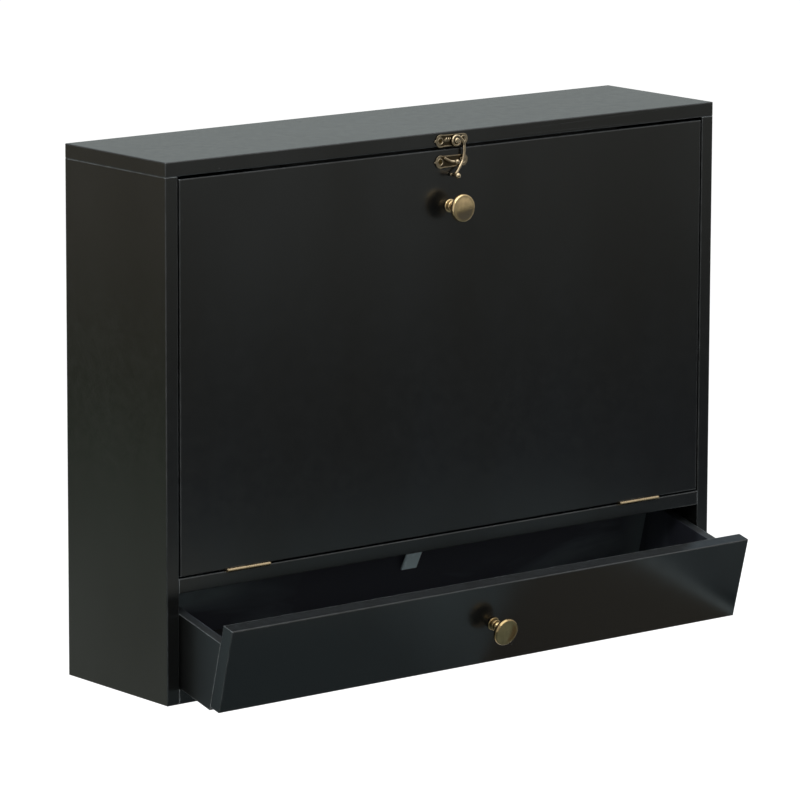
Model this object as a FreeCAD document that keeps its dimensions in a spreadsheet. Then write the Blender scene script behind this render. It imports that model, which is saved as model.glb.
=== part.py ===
import FreeCAD, Part
import math
import os
from types import SimpleNamespace

import Sketcher

# A wall-hung desk with a drop front. The origin is the middle of the four wall fixings,
# in the wall's plane. X runs to the right, Y into the wall and Z up.
# All lengths are in millimetres and all angles in degrees.

SIZES = {
    # Carcass boards
    "cabinet_width": 600.0,
    "cabinet_depth": 140.0,
    "cabinet_height": 455.0,
    "board": 12.5,
    "eased_edge": 0.8,
    "drawer_opening": 81.5,
    # Back panel and hanging rails
    "back_sheet": 3.0,
    "rebate_width": 6.0,
    "rebate_gap": 0.3,
    "rail_height": 60.0,
    "rail_thickness": 12.5,
    "fixing_spacing": 406.4,
    "fixing_hole_radius": 2.75,
    # Carcass dowels
    "dowel_radius": 3.0,
    "dowel_face_depth": 8.5,
    "dowel_end_depth": 16.0,
    "dowel_spare": 0.25,
    "wood_fit": 0.05,
    # Pins that hold the back panel
    "panel_pin_radius": 0.6,
    "panel_pin_length": 14.0,
    "panel_pin_head_radius": 1.3,
    "panel_pin_head": 0.6,
    # Door and the strip that it closes against
    "door_side_gap": 1.75,
    "door_bottom_gap": 1.5,
    "door_top_gap": 2.5,
    "stop_strip_length": 400.0,
    "stop_strip_width": 8.0,
    "bumper_radius": 3.5,
    "bumper_thickness": 1.2,
    "bumper_gap": 0.3,
    # Butt hinges
    "hinge_length": 45.0,
    "hinge_inset": 83.3,
    "hinge_reach": 1.3,
    "hinge_leaf": 0.9,
    "hinge_leaf_depth": 10.5,
    "knuckle_radius": 1.7,
    "knuckle_clearance": 0.15,
    "knuckle_end_gap": 0.2,
    "hinge_pin_radius": 0.75,
    "hinge_pin_fit": 0.1,
    "hinge_pin_cap": 0.7,
    "hinge_screw_spacing": 28.0,
    "hinge_screw_length": 9.0,
    # Small countersunk screws
    "screw_radius": 1.2,
    "screw_head_radius": 2.1,
    "screw_fit": 0.05,
    "screw_slot_width": 0.6,
    # Knobs and their screws
    "knob_radius": 12.5,
    "knob_projection": 22.0,
    "door_knob_drop": 48.8,
    "knob_screw_radius": 2.0,
    "knob_screw_fit": 0.05,
    "knob_screw_hole_radius": 2.25,
    "knob_screw_reach": 10.0,
    "knob_bore_depth": 11.0,
    "pan_head_radius": 4.0,
    "pan_head": 3.0,
    "recess_width": 1.0,
    # Hook latch
    "latch_length": 37.0,
    "latch_plate": 1.2,
    "latch_relief": 0.35,
    "latch_upper_rise": 4.9,
    "latch_lower_drop": 10.5,
    "latch_screw_radius": 1.0,
    "latch_screw_head_radius": 1.9,
    "latch_screw_length": 9.0,
    "hook_pivot_across": 4.5,
    "hook_pivot_drop": 0.4,
    "hook_eye_radius": 4.05,
    "hook_eye_thickness": 2.0,
    "hook_ring_wire_radius": 1.2,
    "hook_gap": 0.15,
    "hook_wire_radius": 1.3,
    "rivet_radius": 1.9,
    "rivet_fit": 0.2,
    "rivet_head_radius": 2.7,
    "rivet_head": 1.7,
    "hook_length": 30.0,
    "finger_bar_radius": 1.4,
    "finger_ball_radius": 2.6,
    "finger_rear_ball_radius": 1.75,
    "finger_bar_length": 8.2,
    "horn_ball_radius": 2.3,
    # Folding stays
    "stay_plate": 1.2,
    "stay_link": 1.5,
    "stay_gap": 0.3,
    "stay_half_width": 4.0,
    "stay_wall_depth": 94.6,
    "stay_wall_rise": 37.6,
    "stay_elbow_depth": 109.96,
    "stay_elbow_rise": 147.13,
    "stay_door_depth": 22.0,
    "stay_door_rise": 109.0,
    "stay_plate_length": 42.0,
    "stay_plate_screw_spacing": 28.0,
    "stay_rivet_radius": 2.0,
    "stay_rivet_fit": 0.15,
    "stay_rivet_head_radius": 3.4,
    "stay_rivet_head": 1.0,
    "stay_foot_length": 34.0,
    "stay_foot_width": 13.0,
    "stay_foot_screw_spacing": 22.0,
    "stay_screw_length": 9.0,
    # Drawer
    "drawer_tilt": 14.38,
    "drawer_pull": 42.65,
    "drawer_side_gap": 2.0,
    "drawer_front_gap": 3.5,
    "drawer_front_rise": 3.0,
    "drawer_side": 9.0,
    "drawer_side_height": 61.0,
    "drawer_inner_length": 110.5,
    "drawer_sheet": 3.0,
    "drawer_sheet_rise": 6.0,
    "groove_depth": 4.0,
    "groove_gap": 0.15,
    "groove_end_gap": 0.3,
    "drawer_dowel_radius": 2.0,
    "drawer_dowel_face_depth": 6.0,
    "drawer_dowel_end_depth": 12.0,
    "drawer_back_gap": 0.3,
    # Glide pins under the drawer's sides
    "glide_pin_radius": 1.5,
    "glide_pin_fit": 0.15,
    "glide_pin_setback": 3.0,
    "glide_pin_depth": 0.98,
    "glide_gap": 0.15,
    # Stop tab under the shelf
    "tab_width": 16.5,
    "tab_thickness": 1.5,
    "tab_across": 3.5,
    "tab_lean": 27.0,
    "tab_reach": 36.5,
    "tab_foot": 14.0,
    "tab_gap": 0.3,
    "tab_screw_length": 8.0,
}

# Places of repeated details, each as a share of the length that they follow
DEPTH_DOWEL_SHARES = (0.22, 0.72)
RAIL_DOWEL_SHARES = (0.25, 0.75)
SIDE_PIN_SHARES = (0.1, 0.36, 0.62, 0.86)
EDGE_PIN_SHARES = (-0.36, 0.0, 0.36)
BUMPER_SHARES = (-0.42, 0.42)
DRAWER_DOWEL_SHARES = (0.27, 0.78)
FLAT_SCREW_SETBACK_SHARE = 0.48

# Small roundings and setbacks, each as a share of the length that it follows
PAN_HEAD_EASE_SHARE = 0.33
DOME_EASE_SHARE = 0.9
WIRE_SETBACK_SHARE = 0.8

# The hinge barrel from its left end: where each knuckle ends, and the leaf that has it
KNUCKLE_SHARES = (0.0, 0.45, 0.507, 0.564, 0.621, 0.68, 1.0)
KNUCKLE_OWNERS = ("door", "shelf", "door", "shelf", "door", "shelf")

# The knob's half section: radius as a share of the knob's radius, distance from the
# seat as a share of its projection, and the swell of the line to the next point
KNOB_SHARES = (
    (0.0, 0.0, 0.0),
    (0.496, 0.0, 0.0),
    (0.496, 0.045, 0.2),
    (0.32, 0.105, -0.2),
    (0.33, 0.17, 0.42),
    (0.33, 0.285, -0.12),
    (0.312, 0.386, -0.16),
    (0.72, 0.6, -0.08),
    (0.97, 0.7, 0.3),
    (0.97, 0.83, 0.12),
    (0.76, 0.885, 0.0),
    (0.72, 0.875, 0.075),
    (0.06, 1.0, 0.0),
    (0.0, 1.0, 0.0),
)

# The latch plate's outline as shares of its length, with the swell of each side
LATCH_SHARES = (
    (-0.5, 0.0, -0.16),
    (-0.427, -0.068, 0.21),
    (-0.24, -0.14, 0.0),
    (0.362, -0.133, 0.5),
    (0.362, 0.133, 0.0),
    (-0.24, 0.14, 0.21),
    (-0.427, 0.068, -0.16),
)
LATCH_FIELD_SHARE = 0.8
LATCH_SCREW_SHARES = (-0.311, 0.365)
ROSETTE_SHARES = ((-0.165, 0.034), (-0.112, 0.03), (-0.062, 0.026))

# The hook's wire as shares of the hook's length: right of the pivot, out from the pivot's
# middle plane and below the pivot. The last point is the middle of the finger bar.
HOOK_SHARES = (
    (0.073, 0.0, 0.122),
    (0.283, 0.0, -0.063),
    (0.28, 0.0, -0.42),
    (0.207, 0.003, -0.637),
    (0.02, 0.035, -0.843),
    (-0.14, 0.103, -0.963),
)
HOOK_BEND_SHARE = 0.42

# The catch horn as shares of the hook's length, from the lower plate's middle: across,
# out from the door's face and up
HORN_SHARES = ((-0.26, 0.048, 0.12), (-0.045, 0.09, 0.0), (0.093, 0.2, -0.007))

# A countersink narrows by this angle on its way in
COUNTERSINK_TAPER = -45
PLANE_NORMALS = {"XY": 1, "XZ": -1, "YZ": 1}
TURN_ABOUT_X = FreeCAD.Vector(1, 0, 0)

document = FreeCAD.newDocument("floating_desk")
pieces = []
cuts = []


# Sizes that are both a number and a sheet expression

def amount(item):
    """The plain number of a size or of a number."""
    return item.value if isinstance(item, Size) else item


def formula(item):
    """The expression of a size or of a number."""
    return item.text if isinstance(item, Size) else repr(item)


class Size:
    """A number together with the sheet expression that gives it."""

    def __init__(self, value, text):
        self.value = value
        self.text = text

    def __add__(self, other):
        return Size(self.value + amount(other), f"({self.text} + {formula(other)})")

    def __radd__(self, other):
        return Size(amount(other) + self.value, f"({formula(other)} + {self.text})")

    def __sub__(self, other):
        return Size(self.value - amount(other), f"({self.text} - {formula(other)})")

    def __rsub__(self, other):
        return Size(amount(other) - self.value, f"({formula(other)} - {self.text})")

    def __mul__(self, other):
        return Size(self.value * amount(other), f"({self.text} * {formula(other)})")

    def __rmul__(self, other):
        return Size(amount(other) * self.value, f"({formula(other)} * {self.text})")

    def __truediv__(self, other):
        return Size(self.value / amount(other), f"({self.text} / {formula(other)})")

    def __neg__(self):
        return Size(-self.value, f"(-1 * {self.text})")


QUARTER_TURN = Size(90.0, "90")


def sine(angle):
    """The sine of an angle that is kept as a size."""
    return Size(math.sin(math.radians(angle.value)), f"sin({angle.text})")


def cosine(angle):
    """The cosine of an angle that is kept as a size."""
    return Size(math.cos(math.radians(angle.value)), f"cos({angle.text})")


def distance(start, end):
    """The length between two points of a plane."""
    across = end[0] - start[0]
    up = end[1] - start[1]
    return Size(math.hypot(amount(across), amount(up)), f"hypot({formula(across)}; {formula(up)})")


def make_sheet():
    """Writes the driving dimensions to a sheet and returns them as sizes."""
    sheet = document.addObject("Spreadsheet::Sheet", "Sizes")
    sheet.Label = "Sizes"
    for row, (alias, value) in enumerate(SIZES.items(), 1):
        sheet.set(f"A{row}", alias)
        sheet.set(f"B{row}", str(value))
        sheet.setAlias(f"B{row}", alias)
    document.recompute()
    return SimpleNamespace(**{alias: Size(value, f"Sizes.{alias}") for alias, value in SIZES.items()})


# Bodies and their features

def bind(target, name, size):
    """Binds one property to the expression of a size."""
    target.setExpression(name, formula(size))


def place(target, base, turn=None):
    """Binds a placement: its base point and, where given, its turn about X."""
    if turn is not None:
        target.Placement = FreeCAD.Placement(
            FreeCAD.Vector(), FreeCAD.Rotation(TURN_ABOUT_X, amount(turn)))
        bind(target, "Placement.Rotation.Angle", turn)
    for axis, size in zip("xyz", base):
        bind(target, f"Placement.Base.{axis}", size)


def rectangle(low_across, low_up, high_across, high_up):
    """A closed loop with four straight sides."""
    return [
        (low_across, low_up, 0),
        (high_across, low_up, 0),
        (high_across, high_up, 0),
        (low_across, high_up, 0),
    ]


def slot(start, end, radius):
    """A closed loop round two points: straight sides and half-round ends."""
    length = distance(start, end)
    left = (-radius * (end[1] - start[1]) / length, radius * (end[0] - start[0]) / length)
    return [
        (start[0] - left[0], start[1] - left[1], 0),
        (end[0] - left[0], end[1] - left[1], 0.5),
        (end[0] + left[0], end[1] + left[1], 0),
        (start[0] + left[0], start[1] + left[1], 0.5),
    ]


def scaled_loop(shares, scale, narrowing=1.0):
    """A loop whose points are shares of one size."""
    return [(scale * (across * narrowing), scale * (up * narrowing), bulge)
            for across, up, bulge in shares]


def rounds(places, radius):
    """Circles of one radius at several places."""
    return [(across, up, radius) for across, up in places]


class Piece:
    """A body whose sketches and features are bound to the sheet.

    A loop is a list of (across, up, bulge). The bulge is the swell of the line to the
    next point, to the right of its run, as a share of its length."""

    def __init__(self, label, base=(0, 0, 0), turn=None, listed=True):
        self.body = document.addObject("PartDesign::Body", label)
        self.body.Label = label
        place(self.body, base, turn)
        if listed:
            pieces.append(self.body)

    def sketch(self, plane, level, loops, circles):
        """One sketch of closed loops and circles, fully constrained."""
        made = self.body.newObject("Sketcher::SketchObject", "Sketch")
        role = plane + "_Plane"
        origin_plane = next(item for item in self.body.Origin.OriginFeatures if item.Role == role)
        made.AttachmentSupport = [(origin_plane, "")]
        made.MapMode = "FlatFace"
        bind(made, "AttachmentOffset.Base.z", level * PLANE_NORMALS[plane])
        rows = []
        for loop in loops:
            rows += self.draw_loop(made, loop)
        for across, up, radius in circles:
            centre = FreeCAD.Vector(amount(across), amount(up), 0)
            number = made.addGeometry(Part.Circle(centre, FreeCAD.Vector(0, 0, 1), amount(radius)))
            rows.append(("DistanceX", (-1, 1, number, 3), across))
            rows.append(("DistanceY", (-1, 1, number, 3), up))
            rows.append(("Radius", (number,), radius))
        made.addConstraint([
            Sketcher.Constraint(kind, *ends) if size is None
            else Sketcher.Constraint(kind, *ends, float(amount(size)))
            for kind, ends, size in rows])
        for number, (kind, ends, size) in enumerate(rows):
            if isinstance(size, Size):
                bind(made, f"Constraints[{number}]", size)
        return made

    def draw_loop(self, made, loop):
        """Draws one loop and returns its constraints."""
        drawn = []
        for here, following in zip(loop, loop[1:] + loop[:1]):
            start = FreeCAD.Vector(amount(here[0]), amount(here[1]), 0)
            end = FreeCAD.Vector(amount(following[0]), amount(following[1]), 0)
            if here[2]:
                run = end - start
                middle = (start + end) * 0.5 + FreeCAD.Vector(run.y, -run.x, 0) * here[2]
                number = made.addGeometry(Part.Arc(start, middle, end))
            else:
                number = made.addGeometry(Part.LineSegment(start, end))
            ends = [(made.getPoint(number, position) - start).Length for position in (1, 2)]
            drawn.append((number, 1, 2) if ends[0] < ends[1] else (number, 2, 1))
        rows = []
        for index, (number, first, last) in enumerate(drawn):
            across, up, bulge = loop[index]
            next_number, next_first, next_last = drawn[(index + 1) % len(drawn)]
            rows.append(("DistanceX", (-1, 1, number, first), across))
            rows.append(("DistanceY", (-1, 1, number, first), up))
            rows.append(("Coincident", (number, last, next_number, next_first), None))
            if bulge:
                rows.append(self.centre_row(number, loop[index], loop[(index + 1) % len(loop)]))
        return rows

    def centre_row(self, number, here, following):
        """The constraint that sets an arc's swell: one coordinate of its centre."""
        offset = 1 / (8 * here[2]) - here[2] / 2
        run = following[0] - here[0]
        rise = following[1] - here[1]
        if abs(amount(rise)) >= abs(amount(run)):
            return "DistanceX", (-1, 1, number, 3), (here[0] + following[0]) / 2 - rise * offset
        return "DistanceY", (-1, 1, number, 3), (here[1] + following[1]) / 2 + run * offset

    def extrude(self, kind, plane, start, end, loops, circles, taper):
        """A pad or a pocket from one level to another."""
        forward = amount(end) > amount(start)
        along_normal = forward == (PLANE_NORMALS[plane] > 0)
        profile = self.sketch(plane, start, loops, circles)
        feature = self.body.newObject("PartDesign::" + kind, kind)
        feature.Profile = profile
        bind(feature, "Length", end - start if forward else start - end)
        feature.Reversed = along_normal if kind == "Pocket" else not along_normal
        if taper:
            feature.TaperAngle = taper
        return feature

    def add(self, plane, start, end, loops=(), circles=(), taper=0):
        """Adds material between two levels."""
        self.extrude("Pad", plane, start, end, loops, circles, taper)

    def cut(self, plane, start, end, loops=(), circles=(), taper=0):
        """Takes material away between two levels."""
        before = self.body.Tip
        cuts.append((before, self.extrude("Pocket", plane, start, end, loops, circles, taper)))

    def add_box(self, low, high):
        """Adds a box between two corners."""
        self.add("XY", low[2], high[2], [rectangle(low[0], low[1], high[0], high[1])])

    def cut_box(self, low, high):
        """Takes a box away between two corners."""
        self.cut("XY", low[2], high[2], [rectangle(low[0], low[1], high[0], high[1])])

    def revolve(self, loop):
        """Turns a half section, drawn as (radius, height), about Z."""
        profile = self.sketch("XZ", 0, [loop], [])
        feature = self.body.newObject("PartDesign::Revolution", "Revolution")
        feature.Profile = profile
        feature.ReferenceAxis = (profile, ["V_Axis"])
        feature.Angle = 360

    def ease(self, radius, wanted):
        """Rounds the edges that a test picks."""
        document.recompute()
        base = self.body.Tip
        names = [f"Edge{number}" for number, edge in enumerate(base.Shape.Edges, 1) if wanted(edge)]
        feature = self.body.newObject("PartDesign::Fillet", "Fillet")
        feature.Base = (base, names)
        bind(feature, "Radius", radius)


def lies_at(edge, axis, level):
    """Whether a whole edge lies at one level of an axis."""
    bounds = edge.BoundBox
    low = getattr(bounds, axis + "Min")
    high = getattr(bounds, axis + "Max")
    near = SIZES["wood_fit"]
    return abs(low - amount(level)) < near and abs(high - amount(level)) < near


def add_screws(piece, plane, face, toward, places, sizes):
    """Adds slotted countersunk screws whose heads lie in one face."""
    radius, head_radius, length, slot_width = sizes
    head = head_radius - radius
    piece.add(plane, face, face + toward * head, circles=rounds(places, head_radius),
              taper=COUNTERSINK_TAPER)
    piece.add(plane, face, face + toward * length, circles=rounds(places, radius))
    slots = [rectangle(across - head, up - slot_width / 2, across + head, up + slot_width / 2)
             for across, up in places]
    piece.cut(plane, face, face + toward * head / 2, slots)


def sink_screws(piece, plane, face, toward, places, sizes, plate):
    """Countersunk holes through a plate for screws of the same sizes."""
    radius, head_radius, fit = sizes
    piece.cut(plane, face, face + toward * plate, circles=rounds(places, radius + fit))
    piece.cut(plane, face, face + toward * (head_radius - radius),
              circles=rounds(places, head_radius + fit), taper=COUNTERSINK_TAPER)


def bent_tube(points, radius, bend_share):
    """A round bar along straight runs that are joined by tangent arcs."""
    edges = []
    start = points[0]
    for index in range(1, len(points) - 1):
        before = points[index - 1] - points[index]
        after = points[index + 1] - points[index]
        reach = bend_share * min(before.Length, after.Length)
        leave = points[index] + before.normalize() * reach
        meet = points[index] + after.normalize() * reach
        half_turn = before.getAngle(after) / 2
        bisector = (before + after).normalize()
        centre = points[index] + bisector * (reach / math.cos(half_turn))
        middle = centre - bisector * (reach * math.tan(half_turn))
        edges.append(Part.LineSegment(start, leave).toShape())
        edges.append(Part.Arc(leave, middle, meet).toShape())
        start = meet
    edges.append(Part.LineSegment(start, points[-1]).toShape())
    path = Part.Wire(edges)
    section = Part.Wire([Part.makeCircle(radius, points[0], points[1] - points[0])])
    return path.makePipeShell([section], True, False)


def primitive(kind, label, sizes, base):
    """A bound primitive, such as a ball or a cylinder."""
    made = document.addObject(kind, label)
    for name, size in sizes.items():
        bind(made, name, size)
    place(made, base)
    return made


def joined(label, parts, base):
    """One piece fused from several shapes, placed as a whole."""
    made = document.addObject("Part::MultiFuse", label)
    made.Label = label
    made.Shapes = parts
    made.Refine = False
    place(made, base)
    pieces.append(made)


size = make_sheet()

# Levels and faces of the carcass
half_width = size.cabinet_width / 2
inner_half = half_width - size.board
front = -size.cabinet_depth
desk_half = (size.cabinet_height - 3 * size.board - size.drawer_opening) / 2
top_under = desk_half
top_face = desk_half + size.board
shelf_top = -desk_half
shelf_under = shelf_top - size.board
floor_top = shelf_under - size.drawer_opening
bottom_face = floor_top - size.board
side_height = top_under - bottom_face
panel_front = -size.back_sheet
rail_front = panel_front - size.rail_thickness
rail_centre = desk_half - size.rail_height / 2

# The door, its hinges and its stays
door_half = inner_half - size.door_side_gap
door_bottom = shelf_top + size.door_bottom_gap
door_top = top_under - size.door_top_gap
door_back = front + size.board
hinge_across = half_width - size.hinge_inset
hinge_y = front - size.hinge_reach
hinge_z = shelf_top + size.door_bottom_gap / 2
hinge_base = (0, hinge_y, hinge_z)
knob_z = door_top - size.door_knob_drop

# The drawer's own frame: its origin is where the front's back face meets the sides'
# lower edges. It leans with the drawer, which rests on the glide pins.
glide_y = front + size.glide_pin_setback
glide_z = floor_top - size.glide_pin_depth
ride = size.glide_pin_radius + size.glide_gap
lean_sine = sine(size.drawer_tilt)
lean_cosine = cosine(size.drawer_tilt)
drawer_base = (
    0,
    glide_y - size.drawer_pull * lean_cosine - ride * lean_sine,
    glide_z - size.drawer_pull * lean_sine + ride * lean_cosine,
)
drawer_half = inner_half - size.drawer_side_gap
drawer_inner = drawer_half - size.drawer_side
drawer_length = size.drawer_inner_length + size.drawer_side
front_low = size.drawer_front_rise
front_high = front_low + size.drawer_opening - 2 * size.drawer_front_gap
back_high = ((shelf_under - size.drawer_back_gap - drawer_base[2] - drawer_length * lean_sine)
             / lean_cosine)
drawer_knob_rise = (front_low + front_high) / 2

screw_sizes = (size.screw_radius, size.screw_head_radius, size.screw_fit)
screw_hole = size.screw_radius + size.screw_fit
stay_screw_sizes = (size.screw_radius, size.screw_head_radius,
                    size.stay_screw_length - size.screw_fit, size.screw_slot_width)
dowel_hole = size.dowel_radius + size.wood_fit
pin_hole = size.panel_pin_radius + size.wood_fit

depth_dowels = [front * share for share in DEPTH_DOWEL_SHARES]
rail_dowels = [(rail_front + size.rail_thickness / 2, centre + size.rail_height * (share - 0.5))
               for centre in (rail_centre, -rail_centre) for share in RAIL_DOWEL_SHARES]
shelf_middle = shelf_top - size.board / 2
floor_middle = floor_top - size.board / 2
side_dowels = rail_dowels + [(y, z) for z in (shelf_middle, floor_middle) for y in depth_dowels]

side_pin_x = inner_half + size.rebate_width / 2
side_pin_levels = [bottom_face + side_height * share for share in SIDE_PIN_SHARES]
edge_pin_places = [size.cabinet_width * share for share in EDGE_PIN_SHARES]
top_pins = [(x, top_under + size.rebate_width / 2) for x in edge_pin_places]
floor_pins = [(x, floor_top - size.rebate_width / 2) for x in edge_pin_places]
fixing_places = [(side * size.fixing_spacing / 2, level * rail_centre)
                 for side in (-1, 1) for level in (-1, 1)]


# Carcass

def make_top_board():
    """The top board: eased all round but at the wall, rebated for the back panel."""
    piece = Piece("top_board")
    piece.add_box((-half_width, front, top_under), (half_width, 0, top_face))
    piece.ease(size.eased_edge, lambda edge: lies_at(edge, "Y", front) or (
        not lies_at(edge, "Y", 0)
        and (lies_at(edge, "X", half_width) or lies_at(edge, "X", -half_width))))
    reach = inner_half + size.rebate_width
    piece.cut_box((-reach, panel_front, top_under), (reach, 0, top_under + size.rebate_width))
    ends = [(side * (half_width - size.board / 2), y) for side in (-1, 1) for y in depth_dowels]
    piece.cut("XY", top_under, top_under + size.dowel_face_depth, circles=rounds(ends, dowel_hole))
    piece.cut("XZ", panel_front, -size.panel_pin_length, circles=rounds(top_pins, pin_hole))
    places = [(size.latch_length * share, top_under + size.latch_upper_rise)
              for share in LATCH_SCREW_SHARES]
    piece.cut("XZ", front, front + size.latch_screw_length,
              circles=rounds(places, size.latch_screw_radius + size.screw_fit))


def make_side(label, side):
    """A side board: dowel holes in its inner face and top end, a rebate at the back."""
    piece = Piece(label)
    outer = side * half_width
    inner = side * inner_half
    low = outer if side < 0 else inner
    high = inner if side < 0 else outer
    piece.add_box((low, front, bottom_face), (high, 0, top_under))
    piece.ease(size.eased_edge, lambda edge: (
        (lies_at(edge, "Y", front) and not lies_at(edge, "Z", top_under))
        or (lies_at(edge, "Z", bottom_face) and lies_at(edge, "X", outer))))
    groove = side * (inner_half + size.rebate_width)
    piece.cut("XY", floor_top - size.rebate_width, top_under, [
        rectangle(min(inner, groove, key=amount), panel_front, max(inner, groove, key=amount), 0)])
    piece.cut("YZ", inner, side * (inner_half + size.dowel_face_depth),
              circles=rounds(side_dowels, dowel_hole))
    ends = [(side * (half_width - size.board / 2), y) for y in depth_dowels]
    piece.cut("XY", top_under, top_under - size.dowel_end_depth, circles=rounds(ends, dowel_hole))
    pins = [(side * side_pin_x, z) for z in side_pin_levels]
    piece.cut("XZ", panel_front, -size.panel_pin_length, circles=rounds(pins, pin_hole))
    plate_screws = [(hinge_y + size.stay_wall_depth, z) for z in stay_plate_screw_levels()]
    piece.cut("YZ", inner, side * (inner_half + size.stay_screw_length - size.stay_plate),
              circles=rounds(plate_screws, screw_hole))


def stay_plate_screw_levels():
    """Levels of the two screws in a stay's wall plate."""
    middle = hinge_z + size.stay_wall_rise
    return [middle + side * size.stay_plate_screw_spacing / 2 for side in (-1, 1)]


def end_dowel_holes(piece, places):
    """Dowel holes in both ends of a board that stands between the sides."""
    for side in (-1, 1):
        piece.cut("YZ", side * inner_half, side * (inner_half - size.dowel_end_depth),
                  circles=rounds(places, dowel_hole))


def hinge_screw_places():
    """Across and depth of the screws in one leaf, from its knuckles' axis."""
    depth = size.hinge_reach + size.hinge_leaf_depth * FLAT_SCREW_SETBACK_SHARE
    return [(side * size.hinge_screw_spacing / 2, depth) for side in (-1, 1)]


def make_shelf_board():
    """The shelf between desk and drawer, with the hinges' mortises in its front edge."""
    piece = Piece("shelf_board")
    piece.add_box((-inner_half, front, shelf_under), (inner_half, panel_front, shelf_top))
    piece.ease(size.eased_edge, lambda edge: (
        lies_at(edge, "Y", front)
        and (lies_at(edge, "Z", shelf_top) or lies_at(edge, "Z", shelf_under))))
    end_dowel_holes(piece, [(y, shelf_middle) for y in depth_dowels])
    mortise_hinges(piece, shelf_top, -1)
    foot_y = tab_top_y - size.tab_foot / 2
    piece.cut("XY", shelf_under, shelf_under + size.tab_screw_length - size.tab_thickness,
              circles=rounds([(size.tab_across, foot_y)], screw_hole))


def mortise_hinges(piece, face, toward):
    """Cuts the two leaves' mortises and their screw holes into an edge."""
    for side in (-1, 1):
        middle = side * hinge_across
        half = size.hinge_length / 2
        piece.cut("XY", face, face + toward * size.hinge_leaf, [rectangle(
            middle - half, front - size.board, middle + half, front + size.hinge_leaf_depth)])
        places = [(middle + x, hinge_y + y) for x, y in hinge_screw_places()]
        piece.cut("XY", face, face + toward * size.hinge_screw_length,
                  circles=rounds(places, screw_hole))


def make_bottom_board():
    """The bottom board, with a rebate for the back panel and two glide pin grooves."""
    piece = Piece("bottom_board")
    piece.add_box((-inner_half, front, bottom_face), (inner_half, 0, floor_top))
    piece.ease(size.eased_edge, lambda edge: (
        lies_at(edge, "Y", front)
        and (lies_at(edge, "Z", floor_top) or lies_at(edge, "Z", bottom_face))))
    piece.cut_box((-inner_half, panel_front, floor_top - size.rebate_width),
                  (inner_half, 0, floor_top))
    end_dowel_holes(piece, [(y, floor_middle) for y in depth_dowels])
    piece.cut("XZ", panel_front, -size.panel_pin_length, circles=rounds(floor_pins, pin_hole))
    groove = size.glide_pin_radius + size.glide_pin_fit
    for side in (-1, 1):
        piece.cut("YZ", side * (drawer_inner - size.glide_pin_fit),
                  side * (drawer_half + size.glide_pin_fit), circles=[(glide_y, glide_z, groove)])


def make_back_panel():
    """The thin back panel that lies in the boards' rebates, flush with the wall face."""
    piece = Piece("back_panel")
    reach = size.rebate_width - size.rebate_gap
    piece.add_box((-inner_half - reach, panel_front, floor_top - reach),
                  (inner_half + reach, 0, top_under + reach))
    pins = back_pin_places()
    piece.cut("XZ", 0, panel_front, circles=rounds(pins, pin_hole))
    piece.cut("XZ", 0, -size.panel_pin_head,
              circles=rounds(pins, size.panel_pin_head_radius + size.wood_fit))
    piece.cut("XZ", 0, panel_front, circles=rounds(fixing_places, size.fixing_hole_radius))


def back_pin_places():
    """All the pins of the back panel."""
    sides = [(side * side_pin_x, z) for side in (-1, 1) for z in side_pin_levels]
    return sides + top_pins + floor_pins


def make_back_panel_pins():
    """Flat-headed pins, with their heads flush in the back panel."""
    piece = Piece("back_panel_pins")
    pins = back_pin_places()
    tip = size.wood_fit - size.panel_pin_length
    piece.add("XZ", 0, tip, circles=rounds(pins, size.panel_pin_radius))
    piece.add("XZ", 0, -size.panel_pin_head, circles=rounds(pins, size.panel_pin_head_radius))


def make_hanging_rail(label, level):
    """A rail behind the desk space that the wall screws pass through."""
    piece = Piece(label)
    low = level * rail_centre - size.rail_height / 2
    piece.add_box((-inner_half, rail_front, low), (inner_half, panel_front, low + size.rail_height))
    places = [(y, z) for y, z in rail_dowels if amount(z) * level > 0]
    end_dowel_holes(piece, places)
    holes = [(x, z) for x, z in fixing_places if amount(z) * level > 0]
    piece.cut("XZ", panel_front, rail_front, circles=rounds(holes, size.fixing_hole_radius))


def make_carcass_dowels():
    """Beech dowels in every joint of the carcass."""
    piece = Piece("carcass_dowels")
    into_face = size.dowel_face_depth - size.dowel_spare
    into_end = size.dowel_end_depth - size.dowel_spare
    for side in (-1, 1):
        piece.add("YZ", side * (inner_half - into_end), side * (inner_half + into_face),
                  circles=rounds(side_dowels, size.dowel_radius))
        ends = [(side * (half_width - size.board / 2), y) for y in depth_dowels]
        piece.add("XY", top_under - into_end, top_under + into_face,
                  circles=rounds(ends, size.dowel_radius))


def make_stop_strip():
    """The strip under the top board that the door closes against, with its bumpers."""
    strip_front = door_back + size.bumper_gap + size.bumper_thickness
    half = size.stop_strip_length / 2
    strip = Piece("door_stop_strip")
    strip.add_box((-half, strip_front, top_under - size.stop_strip_width),
                  (half, strip_front + size.stop_strip_width, top_under))
    places = [(size.stop_strip_length * share, top_under - size.stop_strip_width / 2)
              for share in BUMPER_SHARES]
    bumpers = Piece("door_bumpers")
    bumpers.add("XZ", strip_front, strip_front - size.bumper_thickness,
                circles=rounds(places, size.bumper_radius))


# Hinges

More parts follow.
